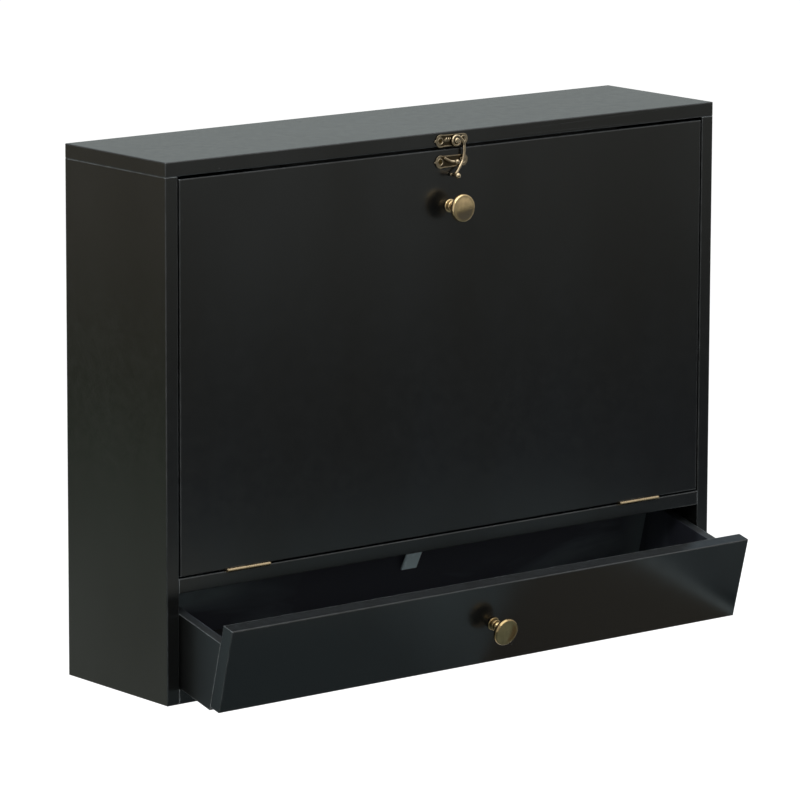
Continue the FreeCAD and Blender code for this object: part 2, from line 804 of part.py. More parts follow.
def hinge_leaf(label, middle, owner):
    """One leaf of a butt hinge, drawn about the axis of its knuckles."""
    up = 1 if owner == "door" else -1
    piece = Piece(label, (middle, hinge_y, hinge_z))
    face = up * size.door_bottom_gap / 2
    rear = face + up * size.hinge_leaf
    half = size.hinge_length / 2
    barrel = size.hinge_length - 2 * size.hinge_pin_cap
    clear = size.knuckle_radius + size.knuckle_clearance
    depth = size.hinge_reach + size.hinge_leaf_depth
    piece.add("XY", face, rear, [rectangle(-half, clear, half, depth)])
    spans = zip(KNUCKLE_SHARES, KNUCKLE_SHARES[1:], KNUCKLE_OWNERS)
    own = [(barrel * (low - 0.5) + size.knuckle_end_gap / 2,
            barrel * (high - 0.5) - size.knuckle_end_gap / 2)
           for low, high, name in spans if name == owner]
    for low, high in own:
        piece.add("XY", face, rear, [rectangle(low, 0, high, clear + size.hinge_leaf)])
        piece.add("YZ", low, high, circles=[(0, 0, size.knuckle_radius)])
    piece.cut("YZ", -half, half, circles=[(0, 0, size.hinge_pin_radius + size.hinge_pin_fit)])
    sink_screws(piece, "XY", face, up, hinge_screw_places(), screw_sizes, size.hinge_leaf)


def make_hinges():
    """Both butt hinges with their pins and screws."""
    for label, side in (("left", -1), ("right", 1)):
        for owner in ("shelf", "door"):
            hinge_leaf(f"{label}_hinge_{owner}_leaf", side * hinge_across, owner)
    pins = Piece("hinge_pins", hinge_base)
    half = size.hinge_length / 2
    for side in (-1, 1):
        middle = side * hinge_across
        pins.add("YZ", middle - half, middle + half, circles=[(0, 0, size.hinge_pin_radius)])
        for end in (-1, 1):
            tip = middle + end * half
            pins.add("YZ", tip - end * (size.hinge_pin_cap - size.knuckle_end_gap / 2), tip,
                     circles=[(0, 0, size.knuckle_radius)])
    places = [(side * hinge_across + x, y) for side in (-1, 1) for x, y in hinge_screw_places()]
    sizes = (size.screw_radius, size.screw_head_radius,
             size.hinge_screw_length - size.screw_fit, size.screw_slot_width)
    for owner, up in (("shelf", -1), ("door", 1)):
        screws = Piece(f"hinge_{owner}_screws", hinge_base)
        add_screws(screws, "XY", up * size.door_bottom_gap / 2, up, places, sizes)


# Door

def make_door_panel():
    """The drop front, flush with the carcass, with mortises in its lower edge."""
    piece = Piece("door_panel")
    piece.add_box((-door_half, front, door_bottom), (door_half, door_back, door_top))
    piece.ease(size.eased_edge, lambda edge: lies_at(edge, "Y", front))
    mortise_hinges(piece, door_bottom, 1)
    piece.cut("XZ", front, door_back, circles=[(0, knob_z, size.knob_screw_hole_radius)])
    places = [(size.latch_length * share, door_top - size.latch_lower_drop)
              for share in LATCH_SCREW_SHARES]
    piece.cut("XZ", front, front + size.latch_screw_length,
              circles=rounds(places, size.latch_screw_radius + size.screw_fit))
    feet = [(side * stay_foot_screw_x(), hinge_z + z)
            for side in (-1, 1) for z in stay_foot_screw_levels()]
    piece.cut("XZ", door_back, door_back - size.stay_screw_length + size.stay_plate,
              circles=rounds(feet, screw_hole))


def make_knob(label, base, turn):
    """A turned brass knob: flange, ring, waist and a shallow domed head."""
    piece = Piece(label, base, turn)
    piece.revolve([(size.knob_radius * out, size.knob_projection * up, bulge)
                   for out, up, bulge in KNOB_SHARES])
    piece.cut("XY", 0, size.knob_bore_depth,
              circles=[(0, 0, size.knob_screw_radius + size.knob_screw_fit)])


def make_knob_screw(label, base, turn):
    """The pan-headed machine screw that holds a knob from inside."""
    piece = Piece(label, base, turn)
    piece.add("XY", -size.board, size.knob_screw_reach, circles=[(0, 0, size.knob_screw_radius)])
    head = -size.board - size.pan_head
    piece.add("XY", -size.board, head, circles=[(0, 0, size.pan_head_radius)])
    piece.ease(size.pan_head * PAN_HEAD_EASE_SHARE, lambda edge: lies_at(edge, "Z", head))
    long = size.pan_head_radius / 2
    short = size.recess_width / 2
    for across, up in ((long, short), (short, long)):
        piece.cut("XY", head, head + size.pan_head / 2, [rectangle(-across, -up, across, up)])


# Latch

def latch_plate(label, base, listed=True):
    """A cast latch plate with lobed ends, a raised rim and two screw holes."""
    piece = Piece(label, base, listed=listed)
    face = -size.latch_plate
    piece.add("XZ", 0, face, [scaled_loop(LATCH_SHARES, size.latch_length)])
    field = face + size.latch_relief
    piece.cut("XZ", face, field, [scaled_loop(LATCH_SHARES, size.latch_length, LATCH_FIELD_SHARE)])
    places = [(size.latch_length * share, 0) for share in LATCH_SCREW_SHARES]
    sizes = (size.latch_screw_radius, size.latch_screw_head_radius, size.screw_fit)
    sink_screws(piece, "XZ", field, 1, places, sizes, size.latch_plate - size.latch_relief)
    return piece, face, field


def latch_screws(label, level):
    """Two countersunk screws through a latch plate."""
    places = [(size.latch_length * share, 0) for share in LATCH_SCREW_SHARES]
    field = size.latch_relief - size.latch_plate
    sizes = (size.latch_screw_radius, size.latch_screw_head_radius,
             size.latch_screw_length - size.screw_fit, size.screw_slot_width)
    add_screws(Piece(label, (0, front, level)), "XZ", field, 1, places, sizes)


def make_latch():
    """The hook latch: two plates, a riveted hook and the catch horn."""
    upper_level = top_under + size.latch_upper_rise
    lower_level = door_top - size.latch_lower_drop
    upper, face, field = latch_plate("latch_upper_plate", (0, front, upper_level))
    pivot = (size.hook_pivot_across, -size.hook_pivot_drop)
    bumps = [(size.latch_length * across, 0, size.latch_length * radius)
             for across, radius in ROSETTE_SHARES]
    upper.add("XZ", field, face, circles=bumps)
    upper.add("XZ", field, face, circles=[(*pivot, size.hook_eye_radius)])
    upper.cut("XZ", 0, face, circles=[(*pivot, size.rivet_radius + size.screw_fit)])
    latch_screws("latch_upper_screws", upper_level)
    make_rivet(pivot, upper_level, face)
    make_hook(pivot, upper_level, face)
    make_lower_plate(lower_level)
    latch_screws("latch_lower_screws", lower_level)


def make_rivet(pivot, level, face):
    """The rivet that the hook turns on: a plain stem and a domed head."""
    base = (pivot[0], front, level + pivot[1])
    piece = Piece("latch_rivet", base)
    head = face - 2 * size.hook_gap - size.hook_eye_thickness
    piece.add("XZ", 0, head, circles=[(0, 0, size.rivet_radius)])
    piece.add("XZ", head, head - size.rivet_head, circles=[(0, 0, size.rivet_head_radius)])
    piece.ease(size.rivet_head * DOME_EASE_SHARE,
               lambda edge: lies_at(edge, "Y", head - size.rivet_head))


def make_hook(pivot, level, face):
    """The hook: an eye with a round rim, a bent wire and a finger bar with two balls."""
    eye = Piece("hook_eye", listed=False)
    rear = face - size.hook_gap
    eye.add("XZ", rear, rear - size.hook_eye_thickness, circles=[
        (0, 0, size.hook_eye_radius), (0, 0, size.rivet_radius + size.rivet_fit)])
    plane = rear - size.hook_eye_thickness * WIRE_SETBACK_SHARE
    ring = primitive("Part::Torus", "eye_ring", {
        "Radius1": size.hook_eye_radius, "Radius2": size.hook_ring_wire_radius}, (0, 0, 0))
    place(ring, (0, plane, 0), QUARTER_TURN)
    points = [FreeCAD.Vector(
        amount(size.hook_length * right), amount(plane - size.hook_length * out),
        amount(size.hook_length * up)) for right, out, up in HOOK_SHARES]
    arm = document.addObject("Part::Feature", "hook_arm")
    arm.Shape = bent_tube(points, amount(size.hook_wire_radius), HOOK_BEND_SHARE)
    end_right, end_out, end_up = HOOK_SHARES[-1]
    across = size.hook_length * end_right
    up = size.hook_length * end_up
    start = plane - size.hook_length * end_out + size.finger_bar_length / 2
    bar = primitive("Part::Cylinder", "finger_bar", {
        "Radius": size.finger_bar_radius, "Height": size.finger_bar_length}, (0, 0, 0))
    place(bar, (across, start, up), QUARTER_TURN)
    rear_ball = primitive("Part::Sphere", "finger_rear_ball", {
        "Radius": size.finger_rear_ball_radius}, (across, start, up))
    front_ball = primitive("Part::Sphere", "finger_front_ball", {
        "Radius": size.finger_ball_radius}, (across, start - size.finger_bar_length, up))
    joined("latch_hook", [eye.body, ring, arm, bar, rear_ball, front_ball],
           (pivot[0], front, level + pivot[1]))


def make_lower_plate(level):
    """The plate on the door, with the horn that the hook hangs beside."""
    plate = latch_plate("lower_plate_blank", (0, 0, 0), listed=False)[0]
    points = [FreeCAD.Vector(
        amount(size.hook_length * right), amount(-size.hook_length * out),
        amount(size.hook_length * up)) for right, out, up in HORN_SHARES]
    horn = document.addObject("Part::Feature", "catch_horn")
    horn.Shape = bent_tube(points, amount(size.hook_wire_radius), HOOK_BEND_SHARE)
    right, out, up = HORN_SHARES[-1]
    tip = primitive("Part::Sphere", "horn_tip", {"Radius": size.horn_ball_radius},
                    (size.hook_length * right, -size.hook_length * out, size.hook_length * up))
    joined("latch_lower_plate", [plate.body, horn, tip], (0, front, level))


# Folding stays, drawn about the axis of the door's hinges

wall_pivot = (size.stay_wall_depth, size.stay_wall_rise)
elbow = (size.stay_elbow_depth, size.stay_elbow_rise)
door_pivot = (size.stay_door_depth, size.stay_door_rise)
plate_in = inner_half - size.stay_plate
rear_link_out = plate_in - size.stay_gap
rear_link_in = rear_link_out - size.stay_link
front_link_out = rear_link_in - size.stay_gap
front_link_in = front_link_out - size.stay_link
ear_out = front_link_in - size.stay_gap
ear_in = ear_out - size.stay_plate


def stay_foot_screw_x():
    """Distance of the door brackets' screws from the middle."""
    return ear_in - size.stay_foot_width / 2


def stay_foot_screw_levels():
    """Levels of the door brackets' screws, from the hinges' axis."""
    return [size.stay_door_rise + side * size.stay_foot_screw_spacing / 2 for side in (-1, 1)]


def make_stay(label, side):
    """One folding stay: wall plate, two links, elbow rivet and door bracket."""
    bore = size.stay_rivet_radius + size.stay_rivet_fit
    seat = size.stay_rivet_radius + size.screw_fit
    half = size.stay_plate_length / 2 - size.stay_half_width
    plate = Piece(f"{label}_stay_wall_plate", hinge_base)
    ends = [(wall_pivot[0], wall_pivot[1] - half), (wall_pivot[0], wall_pivot[1] + half)]
    plate.add("YZ", side * inner_half, side * plate_in, [slot(*ends, size.stay_half_width)])
    plate.cut("YZ", side * inner_half, side * plate_in, circles=[(*wall_pivot, seat)])
    screws = [(wall_pivot[0], z - hinge_z) for z in stay_plate_screw_levels()]
    sink_screws(plate, "YZ", side * plate_in, side, screws, screw_sizes, size.stay_plate)

    rear = Piece(f"{label}_stay_rear_link", hinge_base)
    rear.add("YZ", side * rear_link_out, side * rear_link_in,
             [slot(wall_pivot, elbow, size.stay_half_width)])
    rear.cut("YZ", side * rear_link_out, side * rear_link_in,
             circles=[(*wall_pivot, bore), (*elbow, seat)])

    rivet = Piece(f"{label}_stay_elbow_rivet", hinge_base)
    head = front_link_in - size.hook_gap
    rivet.add("YZ", side * rear_link_out, side * head, circles=[(*elbow, size.stay_rivet_radius)])
    rivet.add("YZ", side * head, side * (head - size.stay_rivet_head),
              circles=[(*elbow, size.stay_rivet_head_radius)])
    rivet.ease(size.stay_rivet_head / 2,
               lambda edge: lies_at(edge, "X", side * (head - size.stay_rivet_head)))

    link = Piece(f"{label}_stay_front_link", hinge_base)
    link.add("YZ", side * front_link_out, side * front_link_in,
             [slot(elbow, door_pivot, size.stay_half_width)])
    link.cut("YZ", side * front_link_out, side * front_link_in,
             circles=[(*elbow, bore), (*door_pivot, bore)])

    make_door_bracket(f"{label}_stay_door_bracket", side)


def make_door_bracket(label, side):
    """The angle on the door that the stay's front link turns beside."""
    piece = Piece(label, hinge_base)
    door_face = size.hinge_reach + size.board
    low = size.stay_door_rise - size.stay_foot_length / 2
    foot_in = ear_out - size.stay_foot_width
    edges = sorted((side * foot_in, side * ear_out), key=amount)
    piece.add("XZ", door_face, door_face + size.stay_plate,
              [rectangle(edges[0], low, edges[1], low + size.stay_foot_length)])
    half = size.stay_half_width
    piece.add("YZ", side * ear_out, side * ear_in, [[
        (door_face, door_pivot[1] - half, 0),
        (door_pivot[0], door_pivot[1] - half, 0.5),
        (door_pivot[0], door_pivot[1] + half, 0),
        (door_face, door_pivot[1] + half, 0)]])
    piece.add("YZ", side * ear_in, side * (ear_in - size.stay_rivet_head),
              circles=[(*door_pivot, size.stay_rivet_head_radius)])
    places = [(side * stay_foot_screw_x(), z) for z in stay_foot_screw_levels()]
    sink_screws(piece, "XZ", door_face + size.stay_plate, -1, places, screw_sizes, size.stay_plate)


def make_stays():
    """Both stays, with the rivets and screws that fix them."""
    for label, side in (("left", -1), ("right", 1)):
        make_stay(label, side)
    rivets = Piece("stay_wall_rivets", hinge_base)
    head = rear_link_in - size.hook_gap
    for side in (-1, 1):
        rivets.add("YZ", side * inner_half, side * head,
                   circles=[(*wall_pivot, size.stay_rivet_radius)])
        rivets.add("YZ", side * head, side * (head - size.stay_rivet_head),
                   circles=[(*wall_pivot, size.stay_rivet_head_radius)])
    make_stay_screws()


def make_stay_screws():
    """The screws of the wall plates and of the door brackets."""
    plates = Piece("stay_plate_screws", hinge_base)
    places = [(wall_pivot[0], z - hinge_z) for z in stay_plate_screw_levels()]
    for side in (-1, 1):
        add_screws(plates, "YZ", side * plate_in, side, places, stay_screw_sizes)
    brackets = Piece("stay_bracket_screws", hinge_base)
    feet = [(side * stay_foot_screw_x(), z) for side in (-1, 1) for z in stay_foot_screw_levels()]
    face = size.hinge_reach + size.board + size.stay_plate
    add_screws(brackets, "XZ", face, -1, feet, stay_screw_sizes)


# Drawer, drawn in its own leaning frame

def drawer_piece(label):
    """A piece of the drawer, placed by the drawer's frame."""
    return Piece(label, drawer_base, size.drawer_tilt)


sheet_low = size.drawer_sheet_rise
sheet_high = sheet_low + size.drawer_sheet
groove_low = sheet_low - size.groove_gap
groove_high = sheet_high + size.groove_gap
drawer_dowel_hole = size.drawer_dowel_radius + size.wood_fit
side_middle = drawer_half - size.drawer_side / 2
back_middle = size.drawer_inner_length + size.drawer_side / 2
drawer_dowel_levels = [size.drawer_side_height * share for share in DRAWER_DOWEL_SHARES]


def make_drawer_front():
    """The drawer's front, with a groove and dowel holes behind."""
    piece = drawer_piece("drawer_front")
    piece.add_box((-drawer_half, -size.board, front_low), (drawer_half, 0, front_high))
    piece.ease(size.eased_edge, lambda edge: lies_at(edge, "Y", -size.board))
    reach = drawer_inner + size.groove_depth
    piece.cut_box((-reach, -size.groove_depth, groove_low), (reach, 0, groove_high))
    places = [(side * side_middle, z) for side in (-1, 1) for z in drawer_dowel_levels]
    piece.cut("XZ", 0, -size.drawer_dowel_face_depth, circles=rounds(places, drawer_dowel_hole))
    piece.cut("XZ", 0, -size.board, circles=[(0, drawer_knob_rise, size.knob_screw_hole_radius)])


def make_drawer_side(label, side):
    """A side of the drawer, flush with the front's end."""
    piece = drawer_piece(label)
    edges = sorted((side * drawer_inner, side * drawer_half), key=amount)
    piece.add_box((edges[0], 0, 0), (edges[1], drawer_length, size.drawer_side_height))
    groove = sorted((side * drawer_inner, side * (drawer_inner + size.groove_depth)), key=amount)
    groove_end = size.drawer_inner_length + size.groove_depth
    piece.cut_box((groove[0], 0, groove_low), (groove[1], groove_end, groove_high))
    places = [(side * side_middle, z) for z in drawer_dowel_levels]
    piece.cut("XZ", 0, size.drawer_dowel_end_depth, circles=rounds(places, drawer_dowel_hole))
    backs = [(back_middle, z) for z in drawer_dowel_levels]
    piece.cut("YZ", side * drawer_inner, side * (drawer_inner + size.drawer_dowel_face_depth),
              circles=rounds(backs, drawer_dowel_hole))


def make_drawer_back():
    """The drawer's back, a little taller than the sides: its upper edge bears on the shelf."""
    piece = drawer_piece("drawer_back")
    inner_length = size.drawer_inner_length
    piece.add_box((-drawer_inner, inner_length, 0), (drawer_inner, drawer_length, back_high))
    piece.cut_box((-drawer_inner, inner_length, groove_low),
                  (drawer_inner, inner_length + size.groove_depth, groove_high))
    backs = [(back_middle, z) for z in drawer_dowel_levels]
    for side in (-1, 1):
        piece.cut("YZ", side * drawer_inner, side * (drawer_inner - size.drawer_dowel_end_depth),
                  circles=rounds(backs, drawer_dowel_hole))


def make_drawer_bottom():
    """The drawer's bottom sheet, let into the grooves all round."""
    piece = drawer_piece("drawer_bottom")
    reach = size.groove_depth - size.groove_end_gap
    piece.add_box((-drawer_inner - reach, -reach, sheet_low),
                  (drawer_inner + reach, size.drawer_inner_length + reach, sheet_high))


def make_drawer_dowels():
    """The small dowels of the drawer's corners."""
    piece = drawer_piece("drawer_dowels")
    into_face = size.drawer_dowel_face_depth - size.dowel_spare
    into_end = size.drawer_dowel_end_depth - size.dowel_spare
    fronts = [(side * side_middle, z) for side in (-1, 1) for z in drawer_dowel_levels]
    piece.add("XZ", into_end, -into_face, circles=rounds(fronts, size.drawer_dowel_radius))
    backs = [(back_middle, z) for z in drawer_dowel_levels]
    for side in (-1, 1):
        piece.add("YZ", side * (drawer_inner - into_end), side * (drawer_inner + into_face),
                  circles=rounds(backs, size.drawer_dowel_radius))


def in_drawer(along, up):
    """A point of the drawer's frame, as Y and Z of the part."""
    return (drawer_base[1] + along * lean_cosine - up * lean_sine,
            drawer_base[2] + along * lean_sine + up * lean_cosine)


def make_glide_pins():
    """Two nylon pins at the bottom board's front edge that the drawer slides and rocks on."""
    piece = Piece("glide_pins", (0, glide_y, glide_z))
    for side in (-1, 1):
        piece.add("YZ", side * drawer_inner, side * drawer_half,
                  circles=[(0, 0, size.glide_pin_radius)])


# The stop tab's tip stands in front of the drawer's back, and its foot is on the shelf
tab_tip = in_drawer(size.drawer_inner_length - size.tab_gap, size.tab_reach)
tab_lean_run = sine(size.tab_lean) / cosine(size.tab_lean)
tab_top_y = tab_tip[0] - (shelf_under - tab_tip[1]) * tab_lean_run


def make_stop_tab():
    """The bendy clear tab that keeps the drawer from coming out."""
    thick = size.tab_thickness
    forward = thick * cosine(size.tab_lean)
    down = thick * sine(size.tab_lean)
    corner = tab_top_y - (thick - down) / cosine(size.tab_lean)
    foot_front = tab_top_y - size.tab_foot
    piece = Piece("drawer_stop_tab", (size.tab_across, 0, 0))
    half = size.tab_width / 2
    piece.add("YZ", -half, half, [[
        (foot_front, shelf_under - thick, 0),
        (corner, shelf_under - thick, 0),
        (tab_tip[0] - forward, tab_tip[1] - down, 0),
        (tab_tip[0], tab_tip[1], 0),
        (tab_top_y, shelf_under, 0),
        (foot_front, shelf_under, 0)]])
    place_of_screw = [(0, tab_top_y - size.tab_foot / 2)]
    face = shelf_under - thick
    sink_screws(piece, "XY", face, 1, place_of_screw, screw_sizes, thick)
    sizes = (size.screw_radius, size.screw_head_radius,
             size.tab_screw_length - size.screw_fit, size.screw_slot_width)
    screw = Piece("stop_tab_screw", (size.tab_across, 0, 0))
    add_screws(screw, "XY", face, 1, place_of_screw, sizes)


def make_carcass():
    """Every fixed wooden piece, with its dowels and pins."""
    make_top_board()
    make_side("left_side", -1)
    make_side("right_side", 1)
    make_shelf_board()
    make_bottom_board()
    make_back_panel()
    make_back_panel_pins()
    make_hanging_rail("upper_hanging_rail", 1)
    make_hanging_rail("lower_hanging_rail", -1)
    make_carcass_dowels()
    make_stop_strip()


def make_door():
    """The door with its knob."""
    make_door_panel()
    base = (0, front, knob_z)
    make_knob("door_knob", base, QUARTER_TURN)
    make_knob_screw("door_knob_screw", base, QUARTER_TURN)


def make_drawer():
    """The drawer with its knob, glide pins and stop tab."""
    make_drawer_front()
    make_drawer_side("drawer_left_side", -1)
    make_drawer_side("drawer_right_side", 1)
    make_drawer_back()
    make_drawer_bottom()
    make_drawer_dowels()
    knob_at = in_drawer(-size.board, drawer_knob_rise)
    turn = QUARTER_TURN + size.drawer_tilt
    make_knob("drawer_knob", (0, *knob_at), turn)
    make_knob_screw("drawer_knob_screw", (0, *knob_at), turn)
    make_glide_pins()
    make_stop_tab()


def check_document():
    """Stops if an object failed, a cut took nothing away or a piece is not sound."""
    document.recompute()
    for item in document.Objects:
        if "Invalid" in item.State or "Error" in item.State:
            raise RuntimeError(f"{item.Label} of {item.getParentGeoFeatureGroup()} has failed")
    for before, after in cuts:
        if after.Shape.Volume >= before.Shape.Volume:
            raise RuntimeError(f"{after.Name} takes nothing away")
    for item in pieces:
        if item.Shape.isNull() or not item.Shape.isValid() or not item.Shape.Solids:
            raise RuntimeError(f"{item.Label} is not a sound solid")


def export_pieces():
    """Writes one file for each piece."""
    os.makedirs("parts", exist_ok=True)
    for item in pieces:
        item.Shape.exportStep(f"parts/{item.Label}.step")


make_carcass()
make_hinges()
make_door()
make_latch()
make_stays()
make_drawer()
check_document()
export_pieces()
print(len(pieces), "pieces written")
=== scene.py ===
import math

import bmesh
import bpy
from bpy.props import FloatProperty, FloatVectorProperty, PointerProperty
from mathutils import Euler, Matrix, Vector


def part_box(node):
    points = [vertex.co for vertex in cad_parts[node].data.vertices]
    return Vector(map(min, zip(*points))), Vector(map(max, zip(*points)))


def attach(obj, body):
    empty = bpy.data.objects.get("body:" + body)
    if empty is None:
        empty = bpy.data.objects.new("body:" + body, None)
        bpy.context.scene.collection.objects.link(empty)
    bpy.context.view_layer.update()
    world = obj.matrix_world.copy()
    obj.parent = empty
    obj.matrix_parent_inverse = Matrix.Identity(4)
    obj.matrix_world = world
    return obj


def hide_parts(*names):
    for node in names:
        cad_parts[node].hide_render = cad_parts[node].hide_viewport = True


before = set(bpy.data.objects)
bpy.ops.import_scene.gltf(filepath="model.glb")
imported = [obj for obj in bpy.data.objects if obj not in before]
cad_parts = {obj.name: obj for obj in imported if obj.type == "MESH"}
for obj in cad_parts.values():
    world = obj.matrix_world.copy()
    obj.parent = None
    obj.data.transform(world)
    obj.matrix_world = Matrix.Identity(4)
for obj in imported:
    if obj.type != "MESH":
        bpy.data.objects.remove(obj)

bl_info = {
    "name": "Drop-front desk dressing",
    "version": (1, 0, 0),
    "blender": (4, 5, 0),
    "location": "3D View > Sidebar > Desk",
    "description": "Finishes a wall-hung drop-front desk in lacquer and brass, and sets its studio",
    "category": "Object",
}

MM = 0.001

# How far the drawer tips forward, how high its sides are, and how deep into their boards
# the inner stain counts
DRAWER_LEAN = math.radians(14.38)
DRAWER_SIDE_HEIGHT = 61 * MM
STAIN_DEPTH = 1 * MM

# The camera as it was fitted to the photograph's edges
CAMERA_PLACE = (-2.90603, -3.66767, 0.83186)
CAMERA_DOWNWARDS = 0.17626
CAMERA_HEADING = -0.67989
CAMERA_ROLL = 0.00338
CAMERA_SHIFT = -0.1
SENSOR_WIDTH = 36.0

# Details of the cast latch plates: their screw rings and their small slanting bumps, each
# of these with its place across and up from the plate's middle line and its radius
FIELD_DEPTH = 0.25 * MM
FACE_RISE = 0.3 * MM
RING_RADIUS = 2.75 * MM
RING_THICKNESS = 0.5 * MM
RING_SINK = 0.1 * MM
RING_SIDES = 12
RING_STEPS = 40
BUMP_SHAPE = (0.45, 0.75, 1.3)
BUMP_SLANT = math.radians(28)
UPPER_BUMPS = ((-6.0, 1.2, 1.5), (-3.4, 1.2, 1.3), (-1.4, 1.2, 1.1))
CASTING_ROUNDS = 3

# The rays that see the studio's background at full white
BACKGROUND_RAYS = ("Is Camera Ray", "Is Glossy Ray", "Is Transmission Ray")

# Nodes of the frame by what they are made of
LACQUERED = (
    "top_board", "left_side", "right_side", "shelf_board", "bottom_board",
    "upper_hanging_rail", "lower_hanging_rail", "door_stop_strip", "door_panel", "drawer_front",
)
DRAWER_SIDES = ("drawer_left_side", "drawer_right_side")
HARDBOARD = ("back_panel", "drawer_bottom")
HINGE_PARTS = (
    "left_hinge_shelf_leaf", "right_hinge_shelf_leaf", "left_hinge_door_leaf",
    "right_hinge_door_leaf", "hinge_pins",
)
STAY_PARTS = tuple(
    f"{side}_stay_{part}" for side in ("left", "right")
    for part in ("wall_plate", "rear_link", "elbow_rivet", "front_link", "door_bracket"))
BRASS_SCREWS = (
    "hinge_shelf_screws", "hinge_door_screws", "stay_plate_screws", "stay_bracket_screws",
    "stay_wall_rivets",
)
LATCH_SCREWS = ("latch_upper_screws", "latch_lower_screws")
STEEL_PARTS = ("door_knob_screw", "drawer_knob_screw", "stop_tab_screw", "back_panel_pins")

# The knob's half section from its seat: radius and height as shares of its size. Two
# points close together keep an edge crisp under the subdivision. Then the steps round it.
KNOB_SECTION = (
    (0.45, 0.0), (0.48, 0.005), (0.48, 0.04), (0.43, 0.062), (0.31, 0.08), (0.29, 0.105),
    (0.33, 0.13), (0.4, 0.155), (0.42, 0.19), (0.38, 0.22), (0.29, 0.235), (0.285, 0.255),
    (0.34, 0.275), (0.345, 0.305), (0.3, 0.335), (0.26, 0.38), (0.3, 0.45), (0.5, 0.54),
    (0.75, 0.61), (0.93, 0.68), (0.99, 0.735), (0.995, 0.79), (0.96, 0.85), (0.92, 0.882),
    (0.88, 0.889), (0.84, 0.891), (0.79, 0.891), (0.73, 0.895), (0.6, 0.908), (0.4, 0.926),
    (0.2, 0.936), (0.0, 0.939),
)
KNOB_STEPS = 32


def linear(text):
    """Turns an sRGB hex colour into the linear values that a shader reads."""
    parts = [int(text[start:start + 2], 16) / 255 for start in (1, 3, 5)]
    return tuple(part / 12.92 if part <= 0.04045 else ((part + 0.055) / 1.055) ** 2.4
                 for part in parts)


def rgba(colour):
    """A colour with full opacity."""
    return (*colour[:3], 1.0)


# What the lacquer's cooler and warmer places add to its colour: a faint painted reflection of a room,
# mottled slowly at random
COOL_PAINTED_REFLECTION = Vector((0.0, 0.0004, 0.0008))
WARM_PAINTED_REFLECTION = Vector((0.0012, 0.0008, 0.0))


# Settings that a user would change

class DeskFinish(bpy.types.PropertyGroup):
    """Colours of the desk's finishes."""

    lacquer: FloatVectorProperty(
        name="Lacquer", description="Body colour of the black lacquer", subtype="COLOR",
        min=0.0, max=1.0, default=linear("#0f1010"))
    brass: FloatVectorProperty(
        name="Brass", description="Colour of the rubbed brass", subtype="COLOR",
        min=0.0, max=1.0, default=linear("#c8a96a"))
    patina: FloatVectorProperty(
        name="Patina", description="Colour of the dark brown left in hollows", subtype="COLOR",
        min=0.0, max=1.0, default=linear("#2c2415"))


class DeskHardware(bpy.types.PropertyGroup):
    """Sizes of the turned and cast brass."""

    knob_radius: FloatProperty(
        name="Knob radius", description="Radius of both knobs", unit="LENGTH",
        min=0.005, max=0.03, precision=4, default=12.45 * MM)
    knob_projection: FloatProperty(
        name="Knob projection", description="How far the knobs stand out", unit="LENGTH",
        min=0.01, max=0.05, precision=4, default=22.0 * MM)
    casting_grain: FloatProperty(
        name="Casting grain", description="Cell size of the remeshed castings", unit="LENGTH",
        min=0.00005, max=0.001, precision=5, default=0.13 * MM)


class DeskStudio(bpy.types.PropertyGroup):
    """The camera and the studio round the desk."""

    lens: FloatProperty(
        name="Lens", description="Focal length in millimetres on a 36 mm sensor",
        min=20.0, max=600.0, default=245.08)
    floor_level: FloatProperty(
        name="Floor level", description="Height of the floor below the wall fixings' middle",
        unit="LENGTH", max=0.0, default=-0.918)


# Nodes and materials

def add_node(tree, kind, settings=None, inputs=None):
    """Adds a shader node. An input that gets a socket is linked and any other is set."""
    node = tree.nodes.new("ShaderNode" + kind)
    for name, value in (settings or {}).items():
        setattr(node, name, value)
    for name, value in (inputs or {}).items():
        if isinstance(value, bpy.types.NodeSocket):
            tree.links.new(value, node.inputs[name])
        else:
            node.inputs[name].default_value = value
    return node


def new_material(name):
    """An empty node material with its output, and its object coordinates."""
    material = bpy.data.materials.new(name)
    material.use_nodes = True
    tree = material.node_tree
    tree.nodes.clear()
    output = add_node(tree, "OutputMaterial")
    place = add_node(tree, "TexCoord").outputs["Object"]
    return material, tree, output, place


# How far apart a wave texture's bands are at a scale of 1
BAND_SPACING = 1 / math.pi


def per_metre(millimetres):
    """A texture scale whose features are about so many millimetres apart."""
    return 1000.0 / millimetres


